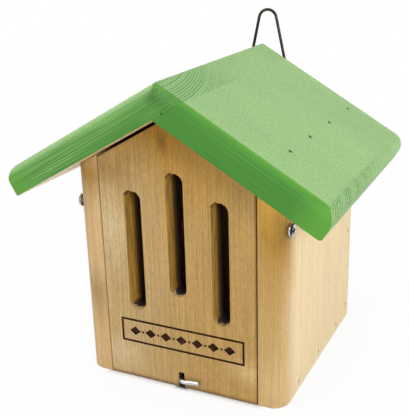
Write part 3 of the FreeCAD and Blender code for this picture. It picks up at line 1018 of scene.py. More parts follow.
@dataclass
class Carcass:
    """The fixed box: two side panels, the back panel and the floor board."""

    house: House
    corner_round: float = 11 * MM
    corner_steps: int = 14
    back_round: float = 3 * MM
    back_steps: int = 6
    ease: float = 0.7 * MM
    screw_bore: float = 2.3 * MM
    hook_bore: float = 1.65 * MM
    hook_depth: float = 20.5 * MM

    def side_panel(self, side: Side) -> Piece:
        """Shape one side panel.

        Args:
            side: Which side of the house.
        Returns:
            The panel.
        """
        house = self.house
        outer = side.value * house.half_width
        near, far = sorted((side.value * house.half_inner, outer))
        low, high = (near, -house.half_depth, 0), (far, house.half_depth, house.ridge_under)
        panel = Bench.block(f"{side.word}_side_board", low, high)
        Bench.saw(panel, house.under_ridge, house.upright(side))

        def corner(depth: float) -> Test:
            """Tells the upright edge at one outer corner."""
            return lambda a, b: all(abs(p.x - outer) < MM and abs(p.y - depth) < MM for p in (a, b))

        Bench.round_over(panel, self.corner_round, self.corner_steps, corner(-house.half_depth))
        Bench.round_over(panel, self.back_round, self.back_steps, corner(house.half_depth))
        Bench.ease(panel, self.ease)
        reach = Vector((2 * outer, 0, 0))
        Bench.carve(panel, Bench.peg("screw_bore", self.screw_bore, house.pivot, house.pivot + reach))
        return panel

    def back_panel(self) -> Piece:
        """Shape the back panel, which fills the gable between the sides.

        Returns:
            The panel.
        """
        house = self.house
        low = (-house.half_inner, house.half_depth - house.wall, 0)
        panel = Bench.block("back_board", low, (house.half_inner, house.half_depth, house.ridge_under))
        for side in Side:
            Bench.saw(panel, house.under_ridge, house.upright(side))
        Bench.ease(panel, self.ease)
        return panel

    def floor(self) -> Piece:
        """Shape the floor board with the bore that the hook turns in.

        Returns:
            The board.
        """
        house = self.house
        front, back = house.floor_front, house.half_depth - house.wall
        low, high = (-house.half_inner, front, 0), (house.half_inner, back, house.floor_board)
        board = Bench.block("base_board", low, high)
        Bench.ease(board, self.ease)
        mouth = Vector((0, front, house.floor_board / 2))
        start, end = mouth - BACK * MM, mouth + BACK * self.hook_depth
        Bench.carve(board, Bench.peg("hook_bore", self.hook_bore, start, end))
        return board

    def build(self, made: dict[str, Finish], pockets: Pockets) -> None:
        """Build and dress the box.

        Args:
            made: Finishes by name, among them one for each board.
            pockets: Gives the cutters of the brad pockets of a board.
        """
        boards = [(self.side_panel(side), f"{side.word}_side_panel") for side in Side]
        boards += [(self.back_panel(), "back_panel"), (self.floor(), "floor_board")]
        for board, node in boards:
            Bench.clothe(board, made[node])
            for pocket in pockets(node):
                Bench.carve(board, pocket)
            Bench.hand_over(board, Body.HOUSE, "pine", node)


@dataclass
class BurnedBadge:
    """The burned line frame on the front, with a row of plain diamonds and dots inside it."""

    middle: Pair = (0.85 * MM, 35.8 * MM)
    half_size: Pair = (45.3 * MM, 8.8 * MM)
    line: float = 1.55 * MM
    depth: float = 0.35 * MM
    diamonds: int = 7
    diamond: Pair = (4.2 * MM, 3.3 * MM)
    pitch: float = 11.6 * MM
    dot: Pair = (0.85 * MM, 0.85 * MM)
    dot_sides: int = 20

    def cutters(self, face: float) -> list[Piece]:
        """Make the shapes that the iron leaves.

        Args:
            face: Y of the panel's front face.
        Returns:
            Cutters for the front panel.
        """
        made = self.frame(face)
        across, up = self.middle
        for number in range(self.diamonds):
            x = across + (number - (self.diamonds - 1) / 2) * self.pitch
            made.append(Bench.stamp("burn_diamond", Vector((x, face, up)), self.depth, 4, self.diamond))
            if number:
                spot = Vector((x - self.pitch / 2, face, up))
                made.append(Bench.stamp("burn_dot", spot, self.depth, self.dot_sides, self.dot))
        return made

    def frame(self, face: float) -> list[Piece]:
        """Make the frame's four bars, which lap at the corners.

        Args:
            face: Y of the panel's front face.
        Returns:
            A cutter for each bar.
        """
        (across, up), (wide, high), half = self.middle, self.half_size, self.line / 2
        bars = []
        for sign in (-1, 1):
            z = up + sign * (high - half)
            bars.append((across - wide, z - half, across + wide, z + half))
            x = across + sign * (wide - half)
            bars.append((x - half, up - high + half, x + half, up + high - half))
        front, deep = face - MM, face + self.depth
        return [Bench.block("burn_bar", (x0, front, z0), (x1, deep, z1)) for x0, z0, x1, z1 in bars]


@dataclass(frozen=True)
class Tears:
    """A run of tears round a slot's upper end: their number, places in degrees and sizes in millimetres."""

    count: int
    first: float
    pitch: float
    drift: float
    out: float
    size: Pair


@dataclass
class SwingFront:
    """The front panel: a gable board with three routed slots and a notch for the hook."""

    house: House
    side_gap: float = 0.6 * MM
    top_gap: float = 2 * MM
    bottom_gap: float = 0.5 * MM
    slot_width: float = 12 * MM
    slot_length: float = 83 * MM
    slot_sides: int = 48
    slots: tuple[Pair, ...] = ((-30.5 * MM, 52.5 * MM), (0.0, 67.5 * MM), (30.5 * MM, 52.5 * MM))
    notch: Pair = (4.2 * MM, 11.5 * MM)
    ease: float = 0.6 * MM
    rim: float = 0.3 * MM
    rim_steps: int = 2
    tears: tuple[Tears, ...] = (
        Tears(6, 108, 8, 4, 1.01, (0.9, 1.2)),
        Tears(7, 24, 12, 8, 0.98, (0.35, 0.65)),
    )
    tear_sides: int = 7
    tear_depth: Pair = (2.5, 4.0)
    tear_reach: tuple[Pair, Pair] = ((0.8, 1.1), (0.8, 1.2))
    seed: int = 11
    badge: BurnedBadge = field(default_factory=BurnedBadge)

    @property
    def face(self) -> float:
        """Y of the front face."""
        return -self.house.half_depth

    def on_rim(self, a: Vector, b: Vector) -> bool:
        """Tells the edges round a slot's mouth.

        Args:
            a: One end of an edge.
            b: Its other end.
        Returns:
            Whether both lie there.
        """
        reach = self.slot_width / 2 + NEAR
        return all(
            abs(point.y - self.face) < TOUCH and any(
                abs(point.x - middle) < reach and base - MM < point.z < base + self.slot_length + MM
                for middle, base in self.slots
            )
            for point in (a, b)
        )

    def slot_cutter(self, middle: float, base: float) -> Piece:
        """Make the shape of one routed slot: a round stretched upwards and pushed through the board.

        Args:
            middle: X of the slot.
            base: Height of its lower end.
        Returns:
            The cutter.
        """
        radius = self.slot_width / 2
        centre = Vector((middle, self.face - MM, base + radius))
        cutter = Bench.disc("slot_cutter", radius, centre, self.slot_sides, math.pi / self.slot_sides)
        with Bench.picking(cutter, lambda a, b: min(a.z, b.z) > centre.z):
            bpy.ops.transform.translate(value=(0, 0, self.slot_length - self.slot_width))
            bpy.ops.mesh.select_all(action="SELECT")
            Bench.draw(BACK * (self.house.wall + 2 * MM))
            bpy.ops.mesh.select_all(action="SELECT")
            bpy.ops.mesh.normals_make_consistent(inside=False)
        return cutter

    def chips(self, middle: float, base: float, dice: random.Random) -> list[Piece]:
        """Make the tears that the cutter left at a slot's upper end, the larger ones at its left corner.

        Args:
            middle: X of the slot.
            base: Height of its lower end.
            dice: Source of the tears' places.
        Returns:
            Cutters for the front panel.
        """
        radius = self.slot_width / 2
        centre = Vector((middle, self.face, base + self.slot_length - radius))
        places = [
            (run.first + run.pitch * number + dice.uniform(0, run.drift), run.out, dice.uniform(*run.size))
            for run in self.tears
            for number in range(run.count)
        ]
        made = []
        for angle, out, size in places:
            turn = math.radians(angle)
            spot = centre + Vector((math.cos(turn), 0, math.sin(turn))) * radius * out
            depth = size * dice.uniform(*self.tear_depth) * MM
            reach = tuple(size * dice.uniform(*share) * MM for share in self.tear_reach)
            made.append(Bench.stamp("tear", spot, depth, self.tear_sides, reach))
        return made

    def build(self, made: dict[str, Finish]) -> None:
        """Build and dress the front panel.

        Args:
            made: Finishes by name: the board's, the routed, notched and torn wood's, which carry painted
                shade, and the badge's.
        """
        house = self.house
        half = house.half_inner - self.side_gap
        apex = house.ridge_under - self.top_gap
        low, high = (-half, self.face, self.bottom_gap), (half, self.face + house.wall, apex)
        panel = Bench.block("slotted_front", low, high)
        for side in Side:
            Bench.saw(panel, (0, 0, apex), house.upright(side))
        Bench.clothe(panel, made["front_panel"])
        width, height = self.notch
        low, high = (-width / 2, self.face - MM, -MM), (width / 2, self.face + house.wall + MM, height)
        # the notch's faces get painted shade
        Bench.carve(panel, Bench.block("notch_cutter", low, high), made["notch"])
        for slot in self.slots:
            # the slots get the routed wood with its painted shade and painted light
            Bench.carve(panel, self.slot_cutter(*slot), made["routed"])

        def outline(a: Vector, b: Vector) -> bool:
            """Tells the edges of the board's outline, apart from those at its foot."""
            return max(abs(a.x), abs(b.x)) > half - MM and max(a.z, b.z) > MM

        Bench.ease(panel, self.ease, outline)
        Bench.ease(panel, self.rim, self.on_rim, self.rim_steps, 0)
        dice = random.Random(self.seed)
        for slot in self.slots:
            for chip in self.chips(*slot, dice):
                # the tears' faces are painted dark, as painted shade
                Bench.carve(panel, chip, made["torn"])
        for cutter in self.badge.cutters(self.face):
            Bench.carve(panel, cutter, made["scorch"])
        Bench.hand_over(panel, Body.FRONT, "pine", "front_panel")


@dataclass
class GableRoof:
    """The two roof boards; the left one runs through the ridge, its end planed with the right slope."""

    house: House
    front_overhang: float = 22.5 * MM
    eave_overhang: float = 28.9 * MM
    front_round: float = 7 * MM
    front_steps: int = 12
    eave_round: float = 9 * MM
    eave_sides: int = 96
    ease: float = 0.6 * MM
    worn: dict[Side, float] = field(default_factory=lambda: {Side.LEFT: 1.0 * MM, Side.RIGHT: 2.4 * MM})
    worn_steps: int = 6
    spare: float = 5 * MM
    lip: float = 3 * MM

    @property
    def front(self) -> float:
        """Y of the boards' front edges."""
        return -self.house.half_depth - self.front_overhang

    @property
    def run(self) -> float:
        """Length of a slope along its underside, from the ridge to the eave."""
        return (self.house.half_width + self.eave_overhang) / math.cos(self.house.angle)

    def eave(self, side: Side, short: float = 0.0) -> Vector:
        """A point on the eave's lower edge, or short of it, on the underside."""
        return self.house.under_ridge + self.house.downhill(side) * (self.run - short)

    def plank(self, side: Side) -> Piece:
        """Lay a plank at the roof's pitch, from beyond the ridge to the eave.

        Args:
            side: Which slope.
        Returns:
            The plank, not yet trimmed at the ridge.
        """
        house = self.house
        near, far = sorted((-side.value * house.roof_board * 2, side.value * self.run))
        low = (near, self.front, house.ridge_under)
        high = (far, house.half_depth, house.ridge_under + house.roof_board)
        plank = Bench.block(f"{side.word}_roof_plank", low, high)
        pivot = Matrix.Translation(house.under_ridge)
        Bench.place(plank, pivot @ Matrix.Rotation(side.value * house.angle, 4, "Y") @ pivot.inverted())
        return plank

    def eave_cutter(self, side: Side) -> Piece:
        """Make the hollow of the eave's round: a bar along its top corner with a peg taken out of it.

        Args:
            side: Which slope.
        Returns:
            The cutter.
        """
        house, reach = self.house, self.eave_round
        upright, downhill = house.upright(side), house.downhill(side)
        middle = self.eave(side) + upright * house.roof_board - (downhill + upright) * (reach + TOUCH)
        front, back = self.front - self.spare, house.half_depth + self.spare
        bar = Bench.block("eave_bar", (0, front, 0), (reach + self.lip, back, reach + self.lip))
        turn = Matrix((downhill, BACK, upright)).transposed().to_4x4()
        Bench.place(bar, Matrix.Translation(middle) @ turn)
        with Bench.editing(bar):
            bpy.ops.mesh.normals_make_consistent(inside=False)
        start, end = middle + BACK * (front - self.spare), middle + BACK * (back + self.spare)
        Bench.carve(bar, Bench.peg("eave_peg", reach, start, end, self.eave_sides))
        return bar

    def shape(self, side: Side) -> Piece:
        """Trim a plank at the ridge and round its front and eave edges.

        Args:
            side: Which slope.
        Returns:
            The board.
        """
        house = self.house
        plank = self.plank(side)
        over_ridge = Vector((0, 0, house.ridge_top))
        if side is Side.LEFT:
            Bench.saw(plank, over_ridge, house.upright(Side.RIGHT))
        else:
            Bench.saw(plank, house.under_ridge, house.upright(Side.LEFT))
        ahead = in_plane((0, self.front, 0), BACK)
        tops = [in_plane(over_ridge, house.upright(slope)) for slope in Side]
        seam = in_plane(house.under_ridge, house.upright(Side.LEFT))
        eave = self.eave(side)

        def front_top(a: Vector, b: Vector) -> bool:
            """Tells the upper edges at the front."""
            return ahead(a, b) and any(top(a, b) for top in tops)

        def eave_bottom(a: Vector, b: Vector) -> bool:
            """Tells the lower edge of the eave."""
            return all(math.hypot(p.x - eave.x, p.z - eave.z) < NEAR for p in (a, b))

        def off_seam(a: Vector, b: Vector) -> bool:
            """Tells the edges that lie clear of the joint between the boards."""
            joined = side is Side.RIGHT or max(a.x, b.x) > MM
            return not (joined and seam(a, b))

        Bench.round_over(plank, self.front_round, self.front_steps, front_top)
        Bench.carve(plank, self.eave_cutter(side))
        Bench.round_over(plank, self.worn[side], self.worn_steps, eave_bottom)
        Bench.ease(plank, self.ease, off_seam)
        Bench.saw(plank, (0, self.front + self.front_round + MM / 2, 0), BACK, through=False)
        Bench.saw(plank, self.eave(side, self.eave_round + MM / 2), house.downhill(side), through=False)
        return plank

    def build(self, made: dict[str, Finish], pockets: Pockets) -> None:
        """Build and dress both boards, with green stain outside and bare wood below.

        Args:
            made: Finishes by name: the green stain of each board and the bare wood of the undersides, with
                its painted shade and painted light.
            pockets: Gives the cutters of the brad pockets of a board.
        """
        for side in Side:
            plank = self.shape(side)
            node = f"{side.word}_roof_board"
            Bench.clothe(plank, made[f"{side.word}_roof"], made["roof_underside"])
            for pocket in pockets(node):
                Bench.carve(plank, pocket)
            Bench.paint(plank, 1, facing(-self.house.upright(side)))
            Bench.hand_over(plank, Body.HOUSE, "green_stain", node)


@dataclass(frozen=True)
class BradRow:
    """One row of brads: where their heads lie, which way they are driven and how the grain runs there."""

    node: str
    board: str
    heads: tuple[Triple, ...]
    along: Triple
    grain: Triple


@dataclass
class Brads:
    """The brads, each set a little below the surface in a pocket that is torn along the grain."""

    house: House
    wire: float = 0.8 * MM
    head: float = 1.2 * MM
    cap: float = 0.8 * MM
    length: float = 28 * MM
    point: float = 2.5 * MM
    blunt: float = 0.15
    sides: int = 16
    sunk: float = 0.45 * MM
    pocket: Pair = (1.45 * MM, 1.25 * MM)
    pocket_depth: float = 1.4 * MM
    pocket_sides: int = 20
    roof_inset: float = 11 * MM
    roof_places: tuple[float, ...] = (-59.5 * MM, -24.167 * MM, 15.167 * MM, 58.5 * MM)
    floor_places: tuple[float, ...] = (-44.5 * MM, -2.5 * MM, 39.5 * MM)
    back_heights: tuple[float, ...] = (12 * MM, 74 * MM, 136 * MM)
    rear_places: tuple[float, ...] = (-30 * MM, 30 * MM)
    ridge_places: tuple[float, ...] = (-71 * MM, -11.25 * MM, 48.5 * MM)

    def rows(self) -> list[BradRow]:
        """List every row of brads on the house.

        Returns:
            The rows.
        """
        house, rows = self.house, []
        for side in Side:
            name, sign = side.word, side.value
            upright, downhill = house.upright(side), house.downhill(side)
            inset = house.half_width - self.roof_inset
            seat = Vector((sign * inset, 0, house.side_height + self.roof_inset * house.slope))
            head = seat + upright * house.roof_board
            heads = tuple((head.x, y, head.z) for y in self.roof_places)
            board = f"{name}_roof_board"
            rows.append(BradRow(f"{name}_roof_brads", board, heads, tuple(-upright), tuple(downhill)))
            face, board = sign * house.half_width, f"{name}_side_panel"
            heads = tuple((face, y, house.floor_board / 2) for y in self.floor_places)
            rows.append(BradRow(f"{name}_floor_brads", board, heads, (-sign, 0, 0), (0, 0, 1)))
            heads = tuple((face, house.half_depth - house.wall / 2, z) for z in self.back_heights)
            rows.append(BradRow(f"{name}_back_brads", board, heads, (-sign, 0, 0), (0, 0, 1)))
        heads = tuple((x, house.half_depth, house.floor_board / 2) for x in self.rear_places)
        rows.append(BradRow("back_floor_brads", "back_panel", heads, (0, -1, 0), (0, 0, 1)))
        rows.append(self.ridge_row())
        return rows

    def ridge_row(self) -> BradRow:
        """Place the hidden brads that go through the left roof board into the end of the right one.

        Returns:
            Their row.
        """
        house = self.house
        downhill = house.downhill(Side.RIGHT)
        lap = (house.ridge_top - house.ridge_under) / (2 * house.slope)
        butt = Vector((lap / 2, 0, house.ridge_under + house.slope * lap / 2))
        through = house.roof_board / math.sin(2 * house.angle)
        head = butt - downhill * (through - 2 * self.head)
        heads = tuple((head.x, y, head.z) for y in self.ridge_places)
        return BradRow("ridge_brads", "none", heads, tuple(downhill), tuple(BACK))

    def pockets(self, board: str) -> list[Piece]:
        """Make the pocket cutters of one board.

        Args:
            board: The CAD node of the board.
        Returns:
            A cutter for each brad that shows there.
        """
        return [
            self.pocket_cutter(Vector(head), Vector(row.along), Vector(row.grain))
            for row in self.rows() if row.board == board
            for head in row.heads
        ]

    def pocket_cutter(self, head: Vector, along: Vector, grain: Vector) -> Piece:
        """Make one pocket: a short peg, longer along the grain than across it.

        Args:
            head: Where the brad enters the surface.
            along: The way it is driven.
            grain: The way the grain runs.
        Returns:
            The cutter.
        """
        cutter = Bench.peg("pocket", MM, (0, 0, -MM), (0, 0, self.pocket_depth), self.pocket_sides)
        turn = Matrix((grain, along.cross(grain), along)).transposed().to_4x4()
        size = Matrix.Diagonal((self.pocket[0] / MM, self.pocket[1] / MM, 1, 1))
        Bench.place(cutter, Matrix.Translation(head) @ turn @ size)
        return cutter

    def brad(self) -> Piece:
        """Model one brad, driven up from the origin: a pin drawn out of its head and tapered to its point.

        Returns:
            The brad.
        """
        neck = self.sunk + self.cap
        pin = Bench.peg("brad", self.head, (0, 0, self.sunk), (0, 0, neck), self.sides)
        with Bench.picking(pin, facing(Vector((0, 0, 1))), faces=True):
            bpy.ops.mesh.inset(thickness=self.head - self.wire)
            Bench.draw(Vector((0, 0, self.length - self.point - neck)))
            Bench.draw(Vector((0, 0, self.point)))
            taper = (self.blunt, self.blunt, self.blunt)
            bpy.ops.transform.resize(value=taper, center_override=(0, 0, self.length))
        return pin

    def build(self, steel: Finish) -> None:
        """Build and dress every row with copies of one brad.

        Args:
            steel: Finish of the brads.
        """
        model = self.brad()
        for row in self.rows():
            turn = Vector(row.along).to_track_quat("Z", "Y").to_matrix().to_4x4()
            pins = [Bench.copy(model, Matrix.Translation(head) @ turn) for head in row.heads]
            joined = Bench.join(f"{row.node}_set", pins)
            joined.data.materials.append(steel)
            Bench.hand_over(joined, Body.HOUSE, "brad_steel", row.node)
        bpy.data.objects.remove(model, do_unlink=True)


@dataclass
class PivotScrews:
    """The two low-headed screws that the front swings on."""

    house: House
    head: float = 4.5 * MM
    head_sides: int = 48
    rim: float = 0.8 * MM
    crown: float = 1.0 * MM
    crown_share: float = 0.98
    crown_steps: int = 8
    flat: float = 0.9999
    gap: float = 0.3 * MM
    shank: float = 2.25 * MM
    length: float = 30 * MM
    point: float = 4 * MM
    blunt: float = 0.1
    # width of the flat ring inside the crown, whose front part is painted dark
    stained: float = 1.2 * MM
    recess: Triple = (2.6 * MM, 0.75 * MM, 1.2 * MM)

    def blank(self, side: Side, seat: Vector, out: Vector) -> Piece:
        """Shape one screw without its recess.

        Args:
            side: Which side of the house.
            seat: Middle of the head's inner face.
            out: The way the head faces.
        Returns:
            The screw.
        """
        top = seat + out * (self.rim + self.crown)
        screw = Bench.peg(f"{side.word}_swing_screw", self.head, seat, top, self.head_sides)
        Bench.round_over(screw, self.crown * self.crown_share, self.crown_steps, in_plane(top, out))
        with Bench.picking(screw, facing(out, self.flat), faces=True):
            bpy.ops.mesh.inset(thickness=self.stained)
        with Bench.picking(screw, facing(-out), faces=True):
            bpy.ops.mesh.inset(thickness=self.head - self.shank)
            Bench.draw(-out * (self.length - self.point))
            Bench.draw(-out * self.point)
            taper = (1, self.blunt, self.blunt)
            bpy.ops.transform.resize(value=taper, center_override=seat - out * self.length)
        return screw

    def screw(self, side: Side, zinc: Finish, painted_dark: Finish) -> Piece:
        """Shape and dress one screw.

        Args:
            side: Which side of the house.
            zinc: Finish of the screw.
            painted_dark: Finish of the painted shade and dark reflection in the recess and on the crown's
                edge.
        Returns:
            The screw.
        """
        out = Vector((side.value, 0, 0))
        seat = self.house.pivot + out * (self.house.half_width + self.gap)
        screw = self.blank(side, seat, out)
        Bench.clothe(screw, zinc, painted_dark)

        def tarnished(centre: Vector, normal: Vector) -> bool:
            """Tells the faces painted dark, as painted shade and dark reflection: the crown's edge and the
            front part of its ring, apart from their lower faces.

            Args:
                centre: Middle of a face.
                normal: The way it faces.
            Returns:
                Whether it is painted dark.
            """
            slant, low = normal.dot(out), self.shank / 2
            shaded = slant < 0.97 or (centre.y < seat.y - low and centre.z > seat.z - low)
            return slant > 0.1 and normal.z > -0.4 and shaded

        # painted shade and dark reflection on the crown's edge and the front of its ring; the lower faces
        # keep the bright zinc
        Bench.paint(screw, 1, tarnished)
        reach, half, depth = self.recess
        outer = seat + out * (self.rim + self.crown + MM)
        inner = outer - out * (depth + MM)
        for corner in (Vector((0, reach, half)), Vector((0, half, reach))):
            low = Vector(map(min, inner - corner, outer - corner))
            high = Vector(map(max, inner + corner, outer + corner))
            # painted shade: the faces of the recess arms are painted dark
            Bench.carve(screw, Bench.block("recess_arm", low, high), painted_dark)
        return screw

    def build(self, zinc: Finish, painted_dark: Finish) -> None:
        """Build and dress both screws.

        Args:
            zinc: Finish of the screws.
            painted_dark: Finish of the painted shade and dark reflection in their recesses and on their
                crown edges.
        """
        for side in Side:
            screw = self.screw(side, zinc, painted_dark)
            Bench.hand_over(screw, Body.FRONT, "zinc", f"{side.word}_pivot_screw")


@dataclass
class LatchHook:
    """The L-shaped hook: a shank in the floor, a tight bend and a leg across the front."""

    house: House
    wire: float = 1.6 * MM
    sides: int = 28
    leg: float = 14 * MM
    bend: float = 2.6 * MM
    bend_steps: int = 10
    gap: float = 0.6 * MM
    tilt: float = 7.0
    grip: float = 20 * MM
    tip_round: float = 0.5 * MM
    tip_steps: int = 4

    def build(self, zinc: Finish) -> None:
        """Build and dress the hook.

        Args:
            zinc: Finish of the hook.
        """
        house = self.house
        axis = Vector((0, 0, house.floor_board / 2))
        front = -house.half_depth - self.gap - self.wire
        end = house.floor_front + self.grip
        tilt = math.radians(self.tilt)
        towards = Vector((math.cos(tilt), 0, math.sin(tilt)))
        centre = axis + BACK * (front + self.bend) + towards * self.bend
        hook = Bench.disc("turn_hook", self.wire, axis + BACK * end, self.sides)
        with Bench.editing(hook):
            Bench.draw(BACK * (front + self.bend - end))
            Bench.swing(QUARTER, centre, (-BACK).cross(towards), self.bend_steps)
            Bench.draw(towards * (self.leg - self.bend))
        tip = axis + BACK * front + towards * self.leg
        Bench.round_over(hook, self.tip_round, self.tip_steps, in_plane(tip, towards))
        hook.data.materials.append(zinc)
        Bench.hand_over(hook, Body.HOOK, "zinc", "latch_hook")


@dataclass
class Hanger:
    """The wire hanger: a loop above the ridge whose splayed legs turn into the back panel."""

    house: House
    wire: float = 1.1 * MM
    sides: int = 20
    loop: float = 7 * MM
    loop_steps: int = 32
    splay: float = 12.4
    rise: float = 16.7 * MM
    drop: float = 50 * MM
    standoff: float = 10 * MM
    bend: float = 5 * MM
    bend_steps: int = 10
    grip: float = 12 * MM

    def build(self, steel: Finish) -> None:
        """Build and dress the hanger.

        Args:
            steel: Finish of the wire.
        """
        house = self.house
        splay = math.radians(self.splay)
        middle = Vector((0, house.half_depth + self.standoff, house.ridge_top + self.rise))
        tangent = middle + Vector((math.cos(splay), 0, math.sin(splay))) * self.loop
        rising = Vector((-math.sin(splay), 0, math.cos(splay)))
        falling = Vector((rising.x, 0, -rising.z))
        foot_height = house.ridge_top - self.drop
        foot = tangent - rising * ((tangent.z - foot_height) / rising.z)
        corner = foot - BACK * self.bend + rising * self.bend
        far_corner = Vector((-corner.x, corner.y, corner.z))
        out = BACK * (self.grip + self.standoff - self.bend)
        leg = tangent - foot - rising * self.bend
        start = Vector((foot.x, house.half_depth - self.grip, foot.z))
        wire = Bench.disc("wire_hanger", self.wire, start, self.sides)
        with Bench.editing(wire):
            Bench.draw(out)
            Bench.swing(QUARTER, corner, BACK.cross(rising), self.bend_steps)
            Bench.draw(leg)
            Bench.swing(math.pi - 2 * splay, middle, -BACK, self.loop_steps)
            Bench.draw(falling * leg.length)
            Bench.swing(QUARTER, far_corner, falling.cross(-BACK), self.bend_steps)
            Bench.draw(-out)
        wire.data.materials.append(steel)
        Bench.hand_over(wire, Body.HOUSE, "hanger_steel", "hanger_wire")


@dataclass
class Studio:
    """The white studio: floor, soft lamps, surrounding light and the camera."""

    place: Triple = (0.21897, -0.46469, 0.29281)
    azimuth: float = 23.374
    elevation: float = 19.233
    roll: float = -0.531
    lens: float = 66.69
    sensor: float = 36.0
    nearest: float = 0.01
    shift: Pair = (-0.1045, -0.0322)
    floor_reach: float = 14.0
    surround: float = 0.35
    hook_shade: float = 2 * MM
    aim: Triple = (0.0, 0.0, 0.1)
    lamps: tuple[tuple[str, Triple, float, float], ...] = (
        ("key_softbox", (1.0, -0.95, 0.75), 0.5, 12.5),
        ("left_softbox", (-0.9, -0.95, 0.85), 0.9, 10.5),
        ("side_softbox", (1.3, 0.25, 0.5), 0.8, 5.5),
        ("top_softbox", (0.0, -0.1, 1.5), 0.8, 3.2),
        ("rear_softbox", (-1.0, 1.0, 0.8), 0.9, 7.0),
    )

    def camera(self) -> None:
        """Set up the camera where the photograph was taken from."""
        data = bpy.data.cameras.new("photo_camera")
        data.lens = self.lens
        data.sensor_width = self.sensor
        data.shift_x, data.shift_y = self.shift
        data.clip_start = self.nearest
        camera = bpy.data.objects.new("photo_camera", data)
        bpy.context.scene.collection.objects.link(camera)
        look = Euler((math.radians(90 - self.elevation), 0, math.radians(self.azimuth))).to_matrix()
        turn = look @ Matrix.Rotation(math.radians(self.roll), 3, "Z")
        camera.matrix_world = Matrix.LocRotScale(Vector(self.place), turn, None)
        bpy.context.scene.camera = camera

    def lamp(self, name: str, place: Triple, size: float, power: float) -> None:
        """Hang one square soft lamp that faces the house.

        Args:
            name: Name of the lamp.
            place: Where it hangs.
            size: Length of its side.
            power: Its power in watts.
        """
        data = bpy.data.lights.new(name, "AREA")
        data.size = size
        data.energy = power
        lamp = bpy.data.objects.new(name, data)
        bpy.context.scene.collection.objects.link(lamp)
        lamp.location = place
        lamp.rotation_euler = (Vector(self.aim) - Vector(place)).to_track_quat("-Z", "Y").to_euler()

    def floor(self) -> None:
        """Lay the pale floor."""
        Bench.clear()
        bpy.ops.mesh.primitive_plane_add(size=self.floor_reach)
        floor = bpy.context.object
        floor.name = "studio_floor"
        floor.data.materials.append(self.paper())

    def paper(self) -> Finish:
        """Write white paper that holds the shadow by the house and is plain white further off, where seen,
        with a painted shadow in a narrow strip under the hook.

        Returns:
            The paper.
        """
        recipe = Recipe(bpy.data.materials.new("white_paper"))
        house = House()
        place = recipe.vector("ABSOLUTE", recipe.where()).outputs[0]
        across = recipe.part(place, "X")
        beyond = recipe.sum("SUBTRACT", recipe.part(place, "Y"), house.half_depth)
        clear = recipe.sum("MAXIMUM", recipe.sum("SUBTRACT", across, house.half_inner), beyond)
        path = recipe.node("LightPath", {}).outputs
        seen = recipe.sum("MAXIMUM", path["Is Camera Ray"], path["Is Glossy Ray"])
        seen = recipe.sum("MAXIMUM", seen, path["Is Transmission Ray"])
        share = recipe.sum("MULTIPLY", seen, recipe.ramp(clear, (0.0, 0.0), (0.004, 0.9), (0.1, 1.0)))
        # painted shadow: a narrow strip along the middle, under the house and the hook, is painted near
        # black
        under_hook = recipe.sum("MAXIMUM", recipe.sum("SUBTRACT", across, self.hook_shade), beyond)
        shade = recipe.ramp(under_hook, (0.0, 0.06), (0.0006, 0.8))
        matt = recipe.node("BsdfDiffuse", {"Color": shade})
        white = recipe.node("Emission", {"Color": (1, 1, 1, 1), "Strength": 1.0})
        mixed = recipe.node("MixShader", {0: share, 1: matt.outputs[0], 2: white.outputs[0]})
        recipe.node("OutputMaterial", {"Surface": mixed.outputs[0]})
        return recipe.owner

    def world(self) -> None:
        """Surround the house with plain light; seen, it is white, but in mirrors dim behind the camera."""
        recipe = Recipe(bpy.data.worlds.new("white_surround"), clamp=True)
        bpy.context.scene.world = recipe.owner
        path = recipe.node("LightPath", {}).outputs
        beyond = recipe.sum("MULTIPLY_ADD", recipe.part(recipe.where("Generated"), "Y"), 1.6, -0.1)
        glossy = recipe.sum("MAXIMUM", path["Is Glossy Ray"], path["Is Transmission Ray"])
        seen = recipe.sum("MAXIMUM", path["Is Camera Ray"], recipe.sum("MULTIPLY", glossy, beyond))
        strength = recipe.sum("MULTIPLY_ADD", seen, 1 - self.surround, self.surround)
        light = recipe.node("Background", {"Color": (1, 1, 1, 1), "Strength": strength})
        recipe.node("OutputWorld", {"Surface": light.outputs[0]})

    def build(self) -> None:
        """Build the studio."""
        bpy.context.scene.view_settings.view_transform = "Standard"
        self.camera()
        self.floor()
        self.world()
        for lamp in self.lamps:
            self.lamp(*lamp)


